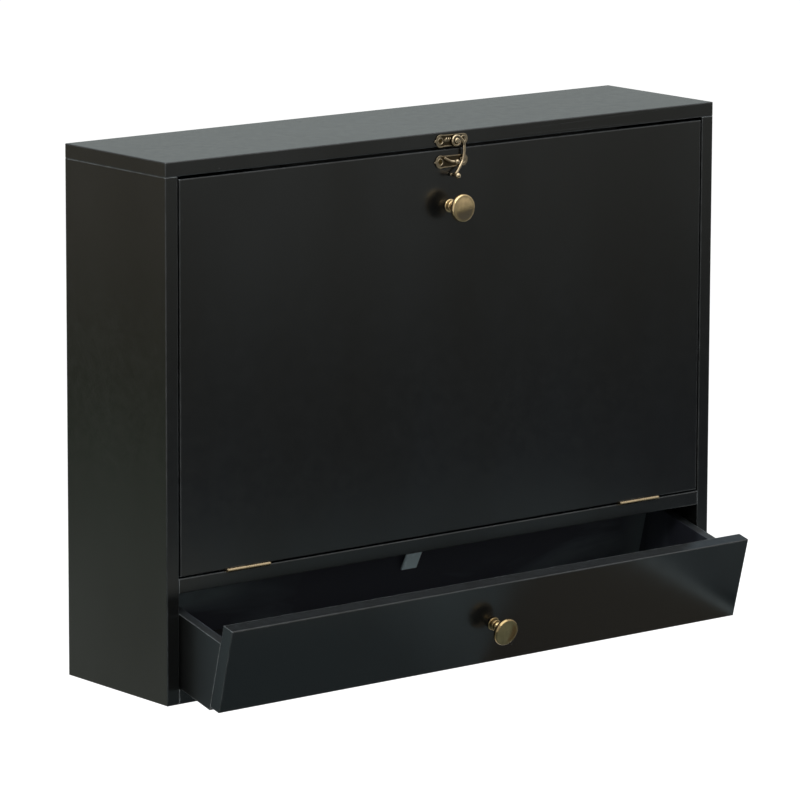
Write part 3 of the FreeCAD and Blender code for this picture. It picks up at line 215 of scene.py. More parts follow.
def satin_lacquer(name="black_satin_lacquer", seam=None, dull=0.0):
    """Black nitrocellulose lacquer sprayed on fibreboard and rubbed to satin.

    It gives a nearly black face with a soft, wide gloss, a faint orange peel, slow cool
    and warm shifts down the boards that are a faint painted reflection of a room, specks
    under the last coat, dust on what looks up, and light grey edges that are partly wear
    and partly a painted highlight."""
    material, tree, output, place = new_material(name)
    body = bpy.context.scene.desk_finish.lacquer
    stretched = add_node(tree, "Mapping", inputs={"Vector": place, "Scale": (1.0, 1.0, 0.45)})
    slow = add_node(tree, "TexNoise", inputs={
        "Vector": stretched.outputs["Vector"], "Scale": per_metre(150), "Detail": 5.0,
        "Roughness": 0.52})
    shift = add_node(tree, "MapRange", inputs={
        "Value": slow.outputs["Fac"], "From Min": 0.35, "From Max": 0.65})
    # The slow cool and warm shift in colour is a faint painted reflection of a room.
    tone = add_node(tree, "Mix", {"data_type": "RGBA"}, {
        0: shift.outputs["Result"],
        6: rgba(Vector(body) * 0.85 + COOL_PAINTED_REFLECTION), 7: rgba(Vector(body) * 1.1 + WARM_PAINTED_REFLECTION)})
    mist = add_node(tree, "TexNoise", inputs={
        "Vector": place, "Scale": per_metre(9), "Detail": 4.0, "Roughness": 0.6})
    gloss = add_node(tree, "MapRange", inputs={
        "Value": mist.outputs["Fac"], "From Min": 0.3, "From Max": 0.7,
        "To Min": 0.19 + dull, "To Max": 0.24 + dull})
    peel = add_node(tree, "TexNoise", inputs={
        "Vector": place, "Scale": per_metre(2.2), "Detail": 2.0, "Roughness": 0.4})
    rounded = add_node(tree, "Bevel", {"samples": 6}, {"Radius": 1.1 * MM})
    bump = add_node(tree, "Bump", inputs={
        "Height": peel.outputs["Fac"], "Strength": 0.12, "Distance": 0.05 * MM,
        "Normal": rounded.outputs["Normal"]})
    cells = add_node(tree, "TexVoronoi", {"feature": "F1"}, {"Vector": place, "Scale": per_metre(34)})
    speck = add_node(tree, "MapRange", inputs={
        "Value": cells.outputs["Distance"], "From Min": 0.009, "From Max": 0.016,
        "To Min": 0.5, "To Max": 0.0})
    specked = add_node(tree, "Mix", {"data_type": "RGBA"}, {
        0: speck.outputs["Result"], 6: tone.outputs[2], 7: rgba(linear("#5c5e5c"))})
    dusty = settled_dust(tree, mist.outputs["Fac"], specked.outputs[2])
    # Light grey along the edges: partly wear, partly a painted highlight.
    colour = rubbed_edges_and_painted_highlight(tree, rounded, mist.outputs["Fac"], dusty)
    if seam is not None:
        colour = chipped(tree, place, colour, seam)
    sheen = add_node(tree, "MapRange", inputs={
        "Value": shift.outputs["Result"], "To Min": 0.61, "To Max": 0.42})
    shader = add_node(tree, "BsdfPrincipled", inputs={
        "Base Color": colour, "Roughness": gloss.outputs["Result"], "IOR": 1.5,
        "Specular IOR Level": sheen.outputs["Result"], "Normal": bump.outputs["Normal"]})
    tree.links.new(shader.outputs["BSDF"], output.inputs["Surface"])
    return material


def settled_dust(tree, mottle, colour):
    """A veil of grey dust on the faces that look up."""
    facing = add_node(tree, "SeparateXYZ", inputs={
        "Vector": add_node(tree, "NewGeometry").outputs["Normal"]})
    share = add_node(tree, "MapRange", inputs={
        "Value": facing.outputs["Z"], "From Min": 0.3, "From Max": 0.95, "To Max": 0.2})
    patchy = add_node(tree, "Math", {"operation": "MULTIPLY"}, {0: share.outputs["Result"], 1: mottle})
    return add_node(tree, "Mix", {"data_type": "RGBA"}, {
        0: patchy.outputs[0], 6: colour, 7: rgba(linear("#59636a"))}).outputs[2]


def rubbed_edges_and_painted_highlight(tree, rounded, mottle, colour):
    """Broken light grey lines along the edges: partly wear where the coats are thin and rubbed, partly a
    painted highlight on the eased edges.
    """
    flat = add_node(tree, "NewGeometry")
    turned = add_node(tree, "VectorMath", {"operation": "DOT_PRODUCT"}, {
        0: rounded.outputs["Normal"], 1: flat.outputs["Normal"]})
    share = add_node(tree, "MapRange", inputs={
        "Value": turned.outputs["Value"], "From Min": 0.995, "From Max": 0.85})
    broken = add_node(tree, "MapRange", inputs={
        "Value": mottle, "From Min": 0.35, "From Max": 0.6, "To Min": 0.3, "To Max": 0.85})
    edge_wear_and_highlight = add_node(tree, "Math", {"operation": "MULTIPLY"}, {
        0: share.outputs["Result"], 1: broken.outputs["Result"]})
    # The light grey on the edges is partly wear and partly a painted highlight.
    return add_node(tree, "Mix", {"data_type": "RGBA"}, {
        0: edge_wear_and_highlight.outputs[0], 6: colour, 7: rgba(linear("#a3abae"))}).outputs[2]


def thin_stain():
    """Board wiped with one thin coat of black stain and left without lacquer.

    It gives a flatter, slightly blue black with dusty smears, most of them at its ends."""
    material, tree, output, place = new_material("thin_black_stain")
    smear = add_node(tree, "Mapping", inputs={
        "Vector": place, "Rotation": (0.0, math.radians(35), 0.0), "Scale": (0.3, 1.0, 1.0)})
    wiped = add_node(tree, "TexNoise", inputs={
        "Vector": smear.outputs["Vector"], "Scale": per_metre(45), "Detail": 4.0, "Roughness": 0.5,
        "Distortion": 0.8})
    share = add_node(tree, "MapRange", inputs={
        "Value": wiped.outputs["Fac"], "From Min": 0.48, "From Max": 0.66})
    axes = add_node(tree, "SeparateXYZ", inputs={"Vector": place})
    left_end = add_node(tree, "MapRange", inputs={
        "Value": axes.outputs["X"], "From Min": -0.17, "From Max": -0.24, "To Min": 0.35, "To Max": 1.5})
    right_end = add_node(tree, "MapRange", inputs={
        "Value": axes.outputs["X"], "From Min": 0.245, "From Max": 0.272, "To Max": 0.7})
    smeared = add_node(tree, "Math", {"operation": "MULTIPLY"}, {
        0: share.outputs["Result"], 1: left_end.outputs["Result"]})
    dusty = add_node(tree, "Math", {"operation": "MAXIMUM", "use_clamp": True}, {
        0: smeared.outputs[0], 1: right_end.outputs["Result"]})
    tone = add_node(tree, "Mix", {"data_type": "RGBA"}, {
        0: dusty.outputs[0], 6: rgba(linear("#3a3c43")), 7: rgba(linear("#6b7779"))})
    fibres = add_node(tree, "TexNoise", inputs={"Vector": place, "Scale": per_metre(1.2), "Detail": 4.0})
    bump = add_node(tree, "Bump", inputs={
        "Height": fibres.outputs["Fac"], "Strength": 0.2, "Distance": 0.06 * MM})
    shader = add_node(tree, "BsdfPrincipled", inputs={
        "Base Color": tone.outputs[2], "Roughness": 0.42, "IOR": 1.45, "Specular IOR Level": 0.22,
        "Normal": bump.outputs["Normal"]})
    tree.links.new(shader.outputs["BSDF"], output.inputs["Surface"])
    return material


def chipped(tree, place, colour, seam):
    """Bare fibres where the lacquer has chipped along a seam, and smudged stain on the inside.

    The seam's X is how far from the desk's middle the stained inside reaches."""
    turned = add_node(tree, "Mapping", {"vector_type": "TEXTURE"}, {
        "Vector": place, "Location": (0.0, seam.y, seam.z), "Rotation": (DRAWER_LEAN, 0.0, 0.0)})
    axes = add_node(tree, "SeparateXYZ", inputs={"Vector": turned.outputs["Vector"]})
    ragged = add_node(tree, "TexNoise", inputs={
        "Vector": place, "Scale": per_metre(2.5), "Detail": 5.0, "Roughness": 0.7})
    offset = add_node(tree, "Math", {"operation": "ABSOLUTE"}, {0: axes.outputs["Y"]})
    reach = add_node(tree, "MapRange", inputs={
        "Value": ragged.outputs["Fac"], "From Min": 0.5, "From Max": 0.72,
        "To Min": 0.0, "To Max": 0.9 * MM})
    mask = add_node(tree, "Math", {"operation": "LESS_THAN"}, {
        0: offset.outputs[0], 1: reach.outputs["Result"]})
    across = add_node(tree, "Math", {"operation": "ABSOLUTE"}, {0: axes.outputs["X"]})
    inside = add_node(tree, "Math", {"operation": "LESS_THAN"}, {0: across.outputs[0], 1: seam.x})
    slanted = add_node(tree, "Mapping", inputs={
        "Vector": place, "Rotation": (math.radians(-25), 0.0, 0.0), "Scale": (1.0, 1.0, 0.25)})
    wiped = add_node(tree, "TexNoise", inputs={
        "Vector": slanted.outputs["Vector"], "Scale": per_metre(24), "Detail": 3.0})
    smudge = add_node(tree, "MapRange", inputs={
        "Value": wiped.outputs["Fac"], "From Min": 0.42, "From Max": 0.62})
    stain = add_node(tree, "Mix", {"data_type": "RGBA"}, {
        0: smudge.outputs["Result"], 6: rgba(linear("#292b33")), 7: rgba(linear("#3c4149"))})
    stained = add_node(tree, "Mix", {"data_type": "RGBA"}, {
        0: inside.outputs[0], 6: colour, 7: stain.outputs[2]})
    return add_node(tree, "Mix", {"data_type": "RGBA"}, {
        0: mask.outputs[0], 6: stained.outputs[2], 7: rgba(linear("#8f8c84"))}).outputs[2]


def painted_hardboard():
    """Thin hardboard painted matt black: the pressed screen pattern shows on its face."""
    material, tree, output, place = new_material("black_painted_hardboard")
    screens = [add_node(tree, "TexWave", {"wave_type": "BANDS", "bands_direction": axis}, {
        "Vector": place, "Scale": per_metre(1.8) * BAND_SPACING, "Distortion": 0.4, "Detail": 1.0})
        for axis in ("X", "Z")]
    weave = add_node(tree, "Math", {"operation": "ADD"}, {
        0: screens[0].outputs["Fac"], 1: screens[1].outputs["Fac"]})
    bump = add_node(tree, "Bump", inputs={
        "Height": weave.outputs[0], "Strength": 0.35, "Distance": 0.1 * MM})
    blot = add_node(tree, "TexNoise", inputs={
        "Vector": place, "Scale": per_metre(25), "Detail": 4.0})
    tone = add_node(tree, "Mix", {"data_type": "RGBA"}, {
        0: blot.outputs["Fac"], 6: rgba(linear("#232326")), 7: rgba(linear("#323234"))})
    shader = add_node(tree, "BsdfPrincipled", inputs={
        "Base Color": tone.outputs[2], "Roughness": 0.62, "IOR": 1.45,
        "Specular IOR Level": 0.3, "Normal": bump.outputs["Normal"]})
    tree.links.new(shader.outputs["BSDF"], output.inputs["Surface"])
    return material


def antique_brass(name, rubbed=1.0, roughness=0.3, edge_share=1.0, hollow_reach=1.6, pale=0.0,
                  levels=None):
    """Brass cast or turned, browned with a patina and rubbed back to the metal.

    It gives warm gold on the raised places, brown in hollows and a broken, soft shine. The
    levels are the depths of a plate's sunk field and of its face."""
    material, tree, output, place = new_material(name)
    finish = bpy.context.scene.desk_finish
    cloud = add_node(tree, "TexNoise", inputs={
        "Vector": place, "Scale": per_metre(5), "Detail": 6.0, "Roughness": 0.65})
    hollow = add_node(tree, "AmbientOcclusion", {"samples": 8}, {"Distance": hollow_reach * MM})
    open_share = add_node(tree, "MapRange", inputs={
        "Value": hollow.outputs["AO"], "From Min": 0.5, "From Max": 1.0})
    cloud_share = add_node(tree, "MapRange", inputs={
        "Value": cloud.outputs["Fac"], "From Min": 0.3, "From Max": 0.6, "To Min": 0.72})
    edge = add_node(tree, "MapRange", inputs={
        "Value": add_node(tree, "NewGeometry").outputs["Pointiness"],
        "From Min": 0.47, "From Max": 0.55, "To Min": edge_share})
    shares = [open_share.outputs["Result"], edge.outputs["Result"], cloud_share.outputs["Result"]]
    if levels is not None:
        depth = add_node(tree, "SeparateXYZ", inputs={"Vector": place})
        shares.append(add_node(tree, "MapRange", inputs={
            "Value": depth.outputs["Y"], "From Min": levels[0], "From Max": levels[1],
            "To Min": 0.12}).outputs["Result"])
    share = shares[0]
    for factor in shares[1:]:
        share = add_node(tree, "Math", {"operation": "MULTIPLY"}, {0: share, 1: factor}).outputs[0]
    metal = Vector(finish.brass) * rubbed
    grey = Vector(linear("#bcbcbc")) * rubbed
    tone = add_node(tree, "Mix", {"data_type": "RGBA"}, {
        0: share, 6: rgba(finish.patina), 7: rgba(metal.lerp(grey, pale))})
    gloss = add_node(tree, "MapRange", inputs={
        "Value": share, "To Min": roughness + 0.25, "To Max": roughness - 0.06})
    pits = add_node(tree, "TexNoise", inputs={
        "Vector": place, "Scale": per_metre(0.7), "Detail": 3.0})
    bump = add_node(tree, "Bump", inputs={
        "Height": pits.outputs["Fac"], "Strength": 0.18, "Distance": 0.03 * MM})
    shader = add_node(tree, "BsdfPrincipled", inputs={
        "Base Color": tone.outputs[2], "Metallic": 1.0, "Roughness": gloss.outputs["Result"],
        "Normal": bump.outputs["Normal"]})
    tree.links.new(shader.outputs["BSDF"], output.inputs["Surface"])
    return material


def zinc_steel():
    """Steel with a thin zinc plating: a cool, slightly blotched grey shine."""
    material, tree, output, place = new_material("zinc_plated_steel")
    blotch = add_node(tree, "TexNoise", inputs={"Vector": place, "Scale": per_metre(2), "Detail": 4.0})
    tone = add_node(tree, "Mix", {"data_type": "RGBA"}, {
        0: blotch.outputs["Fac"], 6: rgba(linear("#9a9d9e")), 7: rgba(linear("#c4c4bd"))})
    gloss = add_node(tree, "MapRange", inputs={
        "Value": blotch.outputs["Fac"], "To Min": 0.25, "To Max": 0.42})
    shader = add_node(tree, "BsdfPrincipled", inputs={
        "Base Color": tone.outputs[2], "Metallic": 1.0, "Roughness": gloss.outputs["Result"]})
    tree.links.new(shader.outputs["BSDF"], output.inputs["Surface"])
    return material


def bare_beech():
    """Bare beech dowel: pale pinkish wood with short dark flecks along the grain."""
    material, tree, output, place = new_material("bare_beech")
    along = add_node(tree, "Mapping", inputs={"Vector": place, "Scale": (0.2, 1.0, 1.0)})
    grain = add_node(tree, "TexNoise", inputs={
        "Vector": along.outputs["Vector"], "Scale": per_metre(0.8), "Detail": 5.0})
    tone = add_node(tree, "Mix", {"data_type": "RGBA"}, {
        0: grain.outputs["Fac"], 6: rgba(linear("#d9b48a")), 7: rgba(linear("#a9784c"))})
    shader = add_node(tree, "BsdfPrincipled", inputs={"Base Color": tone.outputs[2], "Roughness": 0.6})
    tree.links.new(shader.outputs["BSDF"], output.inputs["Surface"])
    return material


def plain_plastic(name, light, dark, roughness, spacing):
    """A moulded nylon or rubber with a fine matt skin."""
    material, tree, output, place = new_material(name)
    skin = add_node(tree, "TexNoise", inputs={
        "Vector": place, "Scale": per_metre(spacing), "Detail": 3.0})
    tone = add_node(tree, "Mix", {"data_type": "RGBA"}, {
        0: skin.outputs["Fac"], 6: rgba(linear(dark)), 7: rgba(linear(light))})
    bump = add_node(tree, "Bump", inputs={
        "Height": skin.outputs["Fac"], "Strength": 0.2, "Distance": 0.05 * MM})
    shader = add_node(tree, "BsdfPrincipled", inputs={
        "Base Color": tone.outputs[2], "Roughness": roughness, "Normal": bump.outputs["Normal"]})
    tree.links.new(shader.outputs["BSDF"], output.inputs["Surface"])
    return material


def clear_tab_plastic():
    """Bent clear polypropylene, a little milky: pale and see-through, with a soft gloss."""
    material, tree, output, place = new_material("clear_polypropylene")
    cloud = add_node(tree, "TexNoise", inputs={"Vector": place, "Scale": per_metre(6), "Detail": 3.0})
    gloss = add_node(tree, "MapRange", inputs={
        "Value": cloud.outputs["Fac"], "To Min": 0.15, "To Max": 0.35})
    shader = add_node(tree, "BsdfPrincipled", inputs={
        "Base Color": rgba(linear("#e4fbff")), "Roughness": gloss.outputs["Result"],
        "IOR": 1.49, "Transmission Weight": 0.03})
    tree.links.new(shader.outputs["BSDF"], output.inputs["Surface"])
    return material


# Pieces

def dress(names, material):
    """Gives the frame's nodes their finish."""
    for name in names:
        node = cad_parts[name]
        if not node.material_slots:
            raise RuntimeError(f"{name} has no material slot")
        for slot in node.material_slots:
            slot.material = material


def finished(name, shape, material, body, replaced):
    """Turns a bmesh into a piece that stands for its nodes and rides on its body."""
    mesh = bpy.data.meshes.new(name)
    shape.to_mesh(mesh)
    shape.free()
    piece = bpy.data.objects.new(name, mesh)
    bpy.context.collection.objects.link(piece)
    mesh.materials.append(material)
    for face in mesh.polygons:
        face.use_smooth = True
    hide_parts(*replaced)
    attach(piece, body)
    return piece


def subdivide(piece, levels):
    """Adds a live subdivision surface."""
    modifier = piece.modifiers.new("smooth", "SUBSURF")
    modifier.levels = levels
    modifier.render_levels = levels


def revolve(shape, section, steps, place, closed=False):
    """Turns a section of (reach, height) pairs round the Z axis, and gives its rings of points.

    The points and faces come in the same order each run, which bmesh.ops.spin doesn't promise."""
    turns = [math.tau * step / steps for step in range(steps)]
    rings = [[shape.verts.new(place @ Vector((reach * math.cos(turn), reach * math.sin(turn), height)))
              for turn in turns] for reach, height in section]
    for lower, upper in zip(rings, rings[1:] + (rings[:1] if closed else [])):
        for step in range(steps):
            shape.faces.new((lower[step - 1], lower[step], upper[step], upper[step - 1]))
    return rings


def turned_knob(seat, out, radius, projection):
    """A lathe-turned knob: flange, two beads, waist and a slightly domed head."""
    shape = bmesh.new()
    upright = Vector((0, 0, 1)).rotation_difference(out).to_matrix().to_4x4()
    place = Matrix.Translation(seat) @ upright
    section = [(radius * across, projection * up) for across, up in KNOB_SECTION]
    rings = revolve(shape, section[:-1], KNOB_STEPS, place)
    tip = shape.verts.new(place @ Vector((0, 0, section[-1][1])))
    for step in range(KNOB_STEPS):
        shape.faces.new((rings[-1][step - 1], rings[-1][step], tip))
    shape.faces.new(rings[0][::-1])
    return shape


def node_shape(name):
    """A merged copy of a frame node's mesh."""
    shape = bmesh.new()
    shape.from_mesh(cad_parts[name].data)
    bmesh.ops.remove_doubles(shape, verts=shape.verts, dist=0.002 * MM)
    return shape


def ball(shape, middle, radius, squash, turn):
    """Adds a ball, stretched along the axes and turned in the plate's plane."""
    matrix = (Matrix.Translation(middle) @ Matrix.Rotation(turn, 4, "Y")
              @ Matrix.Diagonal((*squash, 1.0)))
    bmesh.ops.create_uvsphere(shape, u_segments=24, v_segments=14, radius=radius, matrix=matrix)


def ring(shape, middle, radius, thickness):
    """Adds a round-sectioned ring that lies flat on a plate."""
    angles = [math.tau * side / RING_SIDES for side in range(RING_SIDES)]
    section = [(radius + thickness * math.cos(angle), thickness * math.sin(angle)) for angle in angles]
    place = Matrix.Translation(middle) @ Matrix.Rotation(-math.pi / 2, 4, "X")
    revolve(shape, section, RING_STEPS, place, closed=True)


def cast(piece, grain, rounds):
    """Melts a piece's overlapping forms into one casting with soft edges."""
    remesh = piece.modifiers.new("melt", "REMESH")
    remesh.mode = "VOXEL"
    remesh.voxel_size = grain
    remesh.use_smooth_shade = True
    smooth = piece.modifiers.new("soften", "SMOOTH")
    smooth.factor = 0.5
    smooth.iterations = rounds


# Operators, one for each piece or group of like pieces

class DESK_OT_boards(bpy.types.Operator):
    """Lacquer the carcass, the door and the drawer"""

    bl_idname = "desk.boards"
    bl_label = "Lacquer boards"

    def execute(self, context):
        dress(LACQUERED, satin_lacquer())
        low, high = (Vector(corner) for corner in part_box("drawer_left_side"))
        seam = Vector((STAIN_DEPTH - high.x, low.y + DRAWER_SIDE_HEIGHT * math.sin(DRAWER_LEAN),
                       low.z))
        dress(DRAWER_SIDES, satin_lacquer("black_lacquer_chipped_at_seam", seam, 0.15))
        dress(("drawer_back",), thin_stain())
        return {"FINISHED"}


class DESK_OT_sheets(bpy.types.Operator):
    """Paint the back panel and the drawer's bottom"""

    bl_idname = "desk.sheets"
    bl_label = "Paint thin sheets"

    def execute(self, context):
        dress(HARDBOARD, painted_hardboard())
        return {"FINISHED"}


class DESK_OT_knobs(bpy.types.Operator):
    """Turn both brass knobs"""

    bl_idname = "desk.knobs"
    bl_label = "Turn knobs"

    def execute(self, context):
        sizes = context.scene.desk_hardware
        brass = antique_brass("turned_antique_brass", rubbed=1.05, roughness=0.24, hollow_reach=1.8,
                              pale=0.25)
        # The drawer knob gets a darker copy of the same brass.
        darker_brass = antique_brass("darker_turned_brass", rubbed=0.54, roughness=0.24, hollow_reach=1.8,
                                pale=0.18)
        low, high = (Vector(corner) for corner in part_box("door_knob"))
        middle = (low + high) / 2
        seat = Vector((middle.x, high.y, middle.z))
        shape = turned_knob(seat, Vector((0, -1, 0)), sizes.knob_radius, sizes.knob_projection)
        subdivide(finished("turned_door_knob", shape, brass, "door", ["door_knob"]), 2)
        up = Vector((0, -math.sin(DRAWER_LEAN), math.cos(DRAWER_LEAN)))
        out = Vector((0, -math.cos(DRAWER_LEAN), -math.sin(DRAWER_LEAN)))
        low, high = (Vector(corner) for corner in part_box("drawer_front"))
        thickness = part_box("door_panel")[1][1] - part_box("door_panel")[0][1]
        height = (high.z - low.z - thickness * math.sin(DRAWER_LEAN)) / math.cos(DRAWER_LEAN)
        corner = Vector(((low.x + high.x) / 2, high.y, low.z + thickness * math.sin(DRAWER_LEAN)))
        seat = corner + thickness * out + height / 2 * up
        shape = turned_knob(seat, out, sizes.knob_radius, sizes.knob_projection)
        subdivide(finished("turned_drawer_knob", shape, darker_brass, "drawer",
                           ["drawer_knob"]), 2)
        return {"FINISHED"}


def screw_places(name):
    """The middles of the two screw heads in a latch plate."""
    low, high = (Vector(corner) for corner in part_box(name))
    radius = (high.z - low.z) / 2
    return [Vector((x, low.y, low.z + radius)) for x in (low.x + radius, high.x - radius)]


def cast_plate(name, plate, screws, body, brass, bumps, grain):
    """Casts one latch plate: raised rings round its screws, and small slanting bumps."""
    shape = node_shape(plate)
    places = screw_places(screws)
    face = places[0].y - FIELD_DEPTH
    for middle in places:
        ring(shape, (middle.x, face + RING_SINK, middle.z), RING_RADIUS, RING_THICKNESS)
    for across, up, radius in bumps:
        ball(shape, (across * MM, face, places[0].z + up * MM), radius * MM, BUMP_SHAPE, BUMP_SLANT)
    cast(finished(name, shape, brass, body, [plate]), grain, CASTING_ROUNDS)


class DESK_OT_latch_plates(bpy.types.Operator):
    """Cast the two latch plates"""

    bl_idname = "desk.latch_plates"
    bl_label = "Cast latch plates"

    def execute(self, context):
        grain = context.scene.desk_hardware.casting_grain
        field = screw_places("latch_upper_screws")[0].y
        brass = antique_brass("cast_antique_brass", rubbed=1.05, roughness=0.2, edge_share=0.25,
                              pale=0.45, levels=(field, field - FACE_RISE))
        cast_plate("cast_upper_plate", "latch_upper_plate", "latch_upper_screws", "cabinet", brass,
                   UPPER_BUMPS, grain)
        cast_plate("cast_lower_plate", "latch_lower_plate", "latch_lower_screws", "door", brass,
                   (), grain)
        return {"FINISHED"}


class DESK_OT_latch_hook(bpy.types.Operator):
    """Cast the latch's hook"""

    bl_idname = "desk.latch_hook"
    bl_label = "Cast hook"

    def execute(self, context):
        brass = antique_brass("cast_hook_brass", rubbed=1.1, roughness=0.18, edge_share=0.5, pale=0.42)
        hook = finished("cast_latch_hook", node_shape("latch_hook"), brass, "hook",
                        ["latch_hook"])
        cast(hook, context.scene.desk_hardware.casting_grain, CASTING_ROUNDS)
        dress(("latch_rivet",), brass)
        # The latch screws are almost all patina brown: partly patina, partly painted shade for the
        # recess they sit in.
        dress(LATCH_SCREWS, antique_brass("patina_and_painted_shade_screw_brass", rubbed=0.2, roughness=0.35))
        return {"FINISHED"}


class DESK_OT_hinges(bpy.types.Operator):
    """Finish the butt hinges and the folding stays"""

    bl_idname = "desk.hinges"
    bl_label = "Finish hinges and stays"

    def execute(self, context):
        dress(HINGE_PARTS, antique_brass("rolled_hinge_brass", rubbed=0.92, roughness=0.3, pale=0.35))
        dress(STAY_PARTS, antique_brass("stamped_stay_brass", roughness=0.34))
        return {"FINISHED"}


class DESK_OT_small_parts(bpy.types.Operator):
    """Finish screws, pins, dowels, bumpers, glides and the stop tab"""

    bl_idname = "desk.small_parts"
    bl_label = "Finish small parts"

    def execute(self, context):
        dress(BRASS_SCREWS, antique_brass("screw_brass", rubbed=1.1, roughness=0.28))
        dress(STEEL_PARTS, zinc_steel())
        dress(("carcass_dowels", "drawer_dowels"), bare_beech())
        dress(("glide_pins",), plain_plastic("turned_nylon", "#2a2a2a", "#1c1c1c", 0.45, 1.5))
        dress(("door_bumpers",), plain_plastic("soft_rubber", "#3a3a3a", "#262626", 0.8, 0.6))
        dress(("drawer_stop_tab",), clear_tab_plastic())
        return {"FINISHED"}


def lamp(name, place, width, power, colour, mirrored=False):
    """A square soft box aimed at the origin. Only one that is mirrored shows in gloss."""
    data = bpy.data.lights.new(name, "AREA")
    data.shape = "RECTANGLE"
    data.size = width
    data.size_y = width
    data.energy = power
    data.color = colour
    box = bpy.data.objects.new(name, data)
    box.location = place
    box.rotation_euler = (-Vector(place)).to_track_quat("-Z", "Y").to_euler()
    box.visible_glossy = mirrored
    bpy.context.collection.objects.link(box)


def seen_share(tree):
    """1 for the kinds of ray that see the background at full white, and 0 for the others."""
    path = add_node(tree, "LightPath")
    share = path.outputs[BACKGROUND_RAYS[0]]
    for kind in BACKGROUND_RAYS[1:]:
        share = add_node(tree, "Math", {"operation": "MAXIMUM"}, {
            0: share, 1: path.outputs[kind]}).outputs[0]
    return share


def card(name, corners, axis, stops):
    """A studio card that shows only in reflections, with its shades along an axis."""
    shape = bmesh.new()
    shape.faces.new([shape.verts.new(corner) for corner in corners])
    mesh = bpy.data.meshes.new(name)
    shape.to_mesh(mesh)
    shape.free()
    board = bpy.data.objects.new(name, mesh)
    bpy.context.collection.objects.link(board)
    material, tree, output, place = new_material(name)
    axes = add_node(tree, "SeparateXYZ", inputs={"Vector": place})
    low, high = stops[0][0], stops[-1][0]
    share = add_node(tree, "MapRange", inputs={
        "Value": axes.outputs[axis], "From Min": low, "From Max": high})
    ramp = add_node(tree, "ValToRGB", inputs={"Fac": share.outputs["Result"]})
    marks = ramp.color_ramp.elements
    while len(marks) < len(stops):
        marks.new(1.0)
    for mark, (level, colour) in zip(marks, stops):
        mark.position = (level - low) / (high - low)
        mark.color = (*colour, 1.0)
    glow = add_node(tree, "Emission", inputs={"Color": ramp.outputs["Color"]})
    tree.links.new(glow.outputs[0], output.inputs["Surface"])
    mesh.materials.append(material)
    board.visible_camera = False
    board.visible_diffuse = False
    board.visible_shadow = False
    board.visible_transmission = False


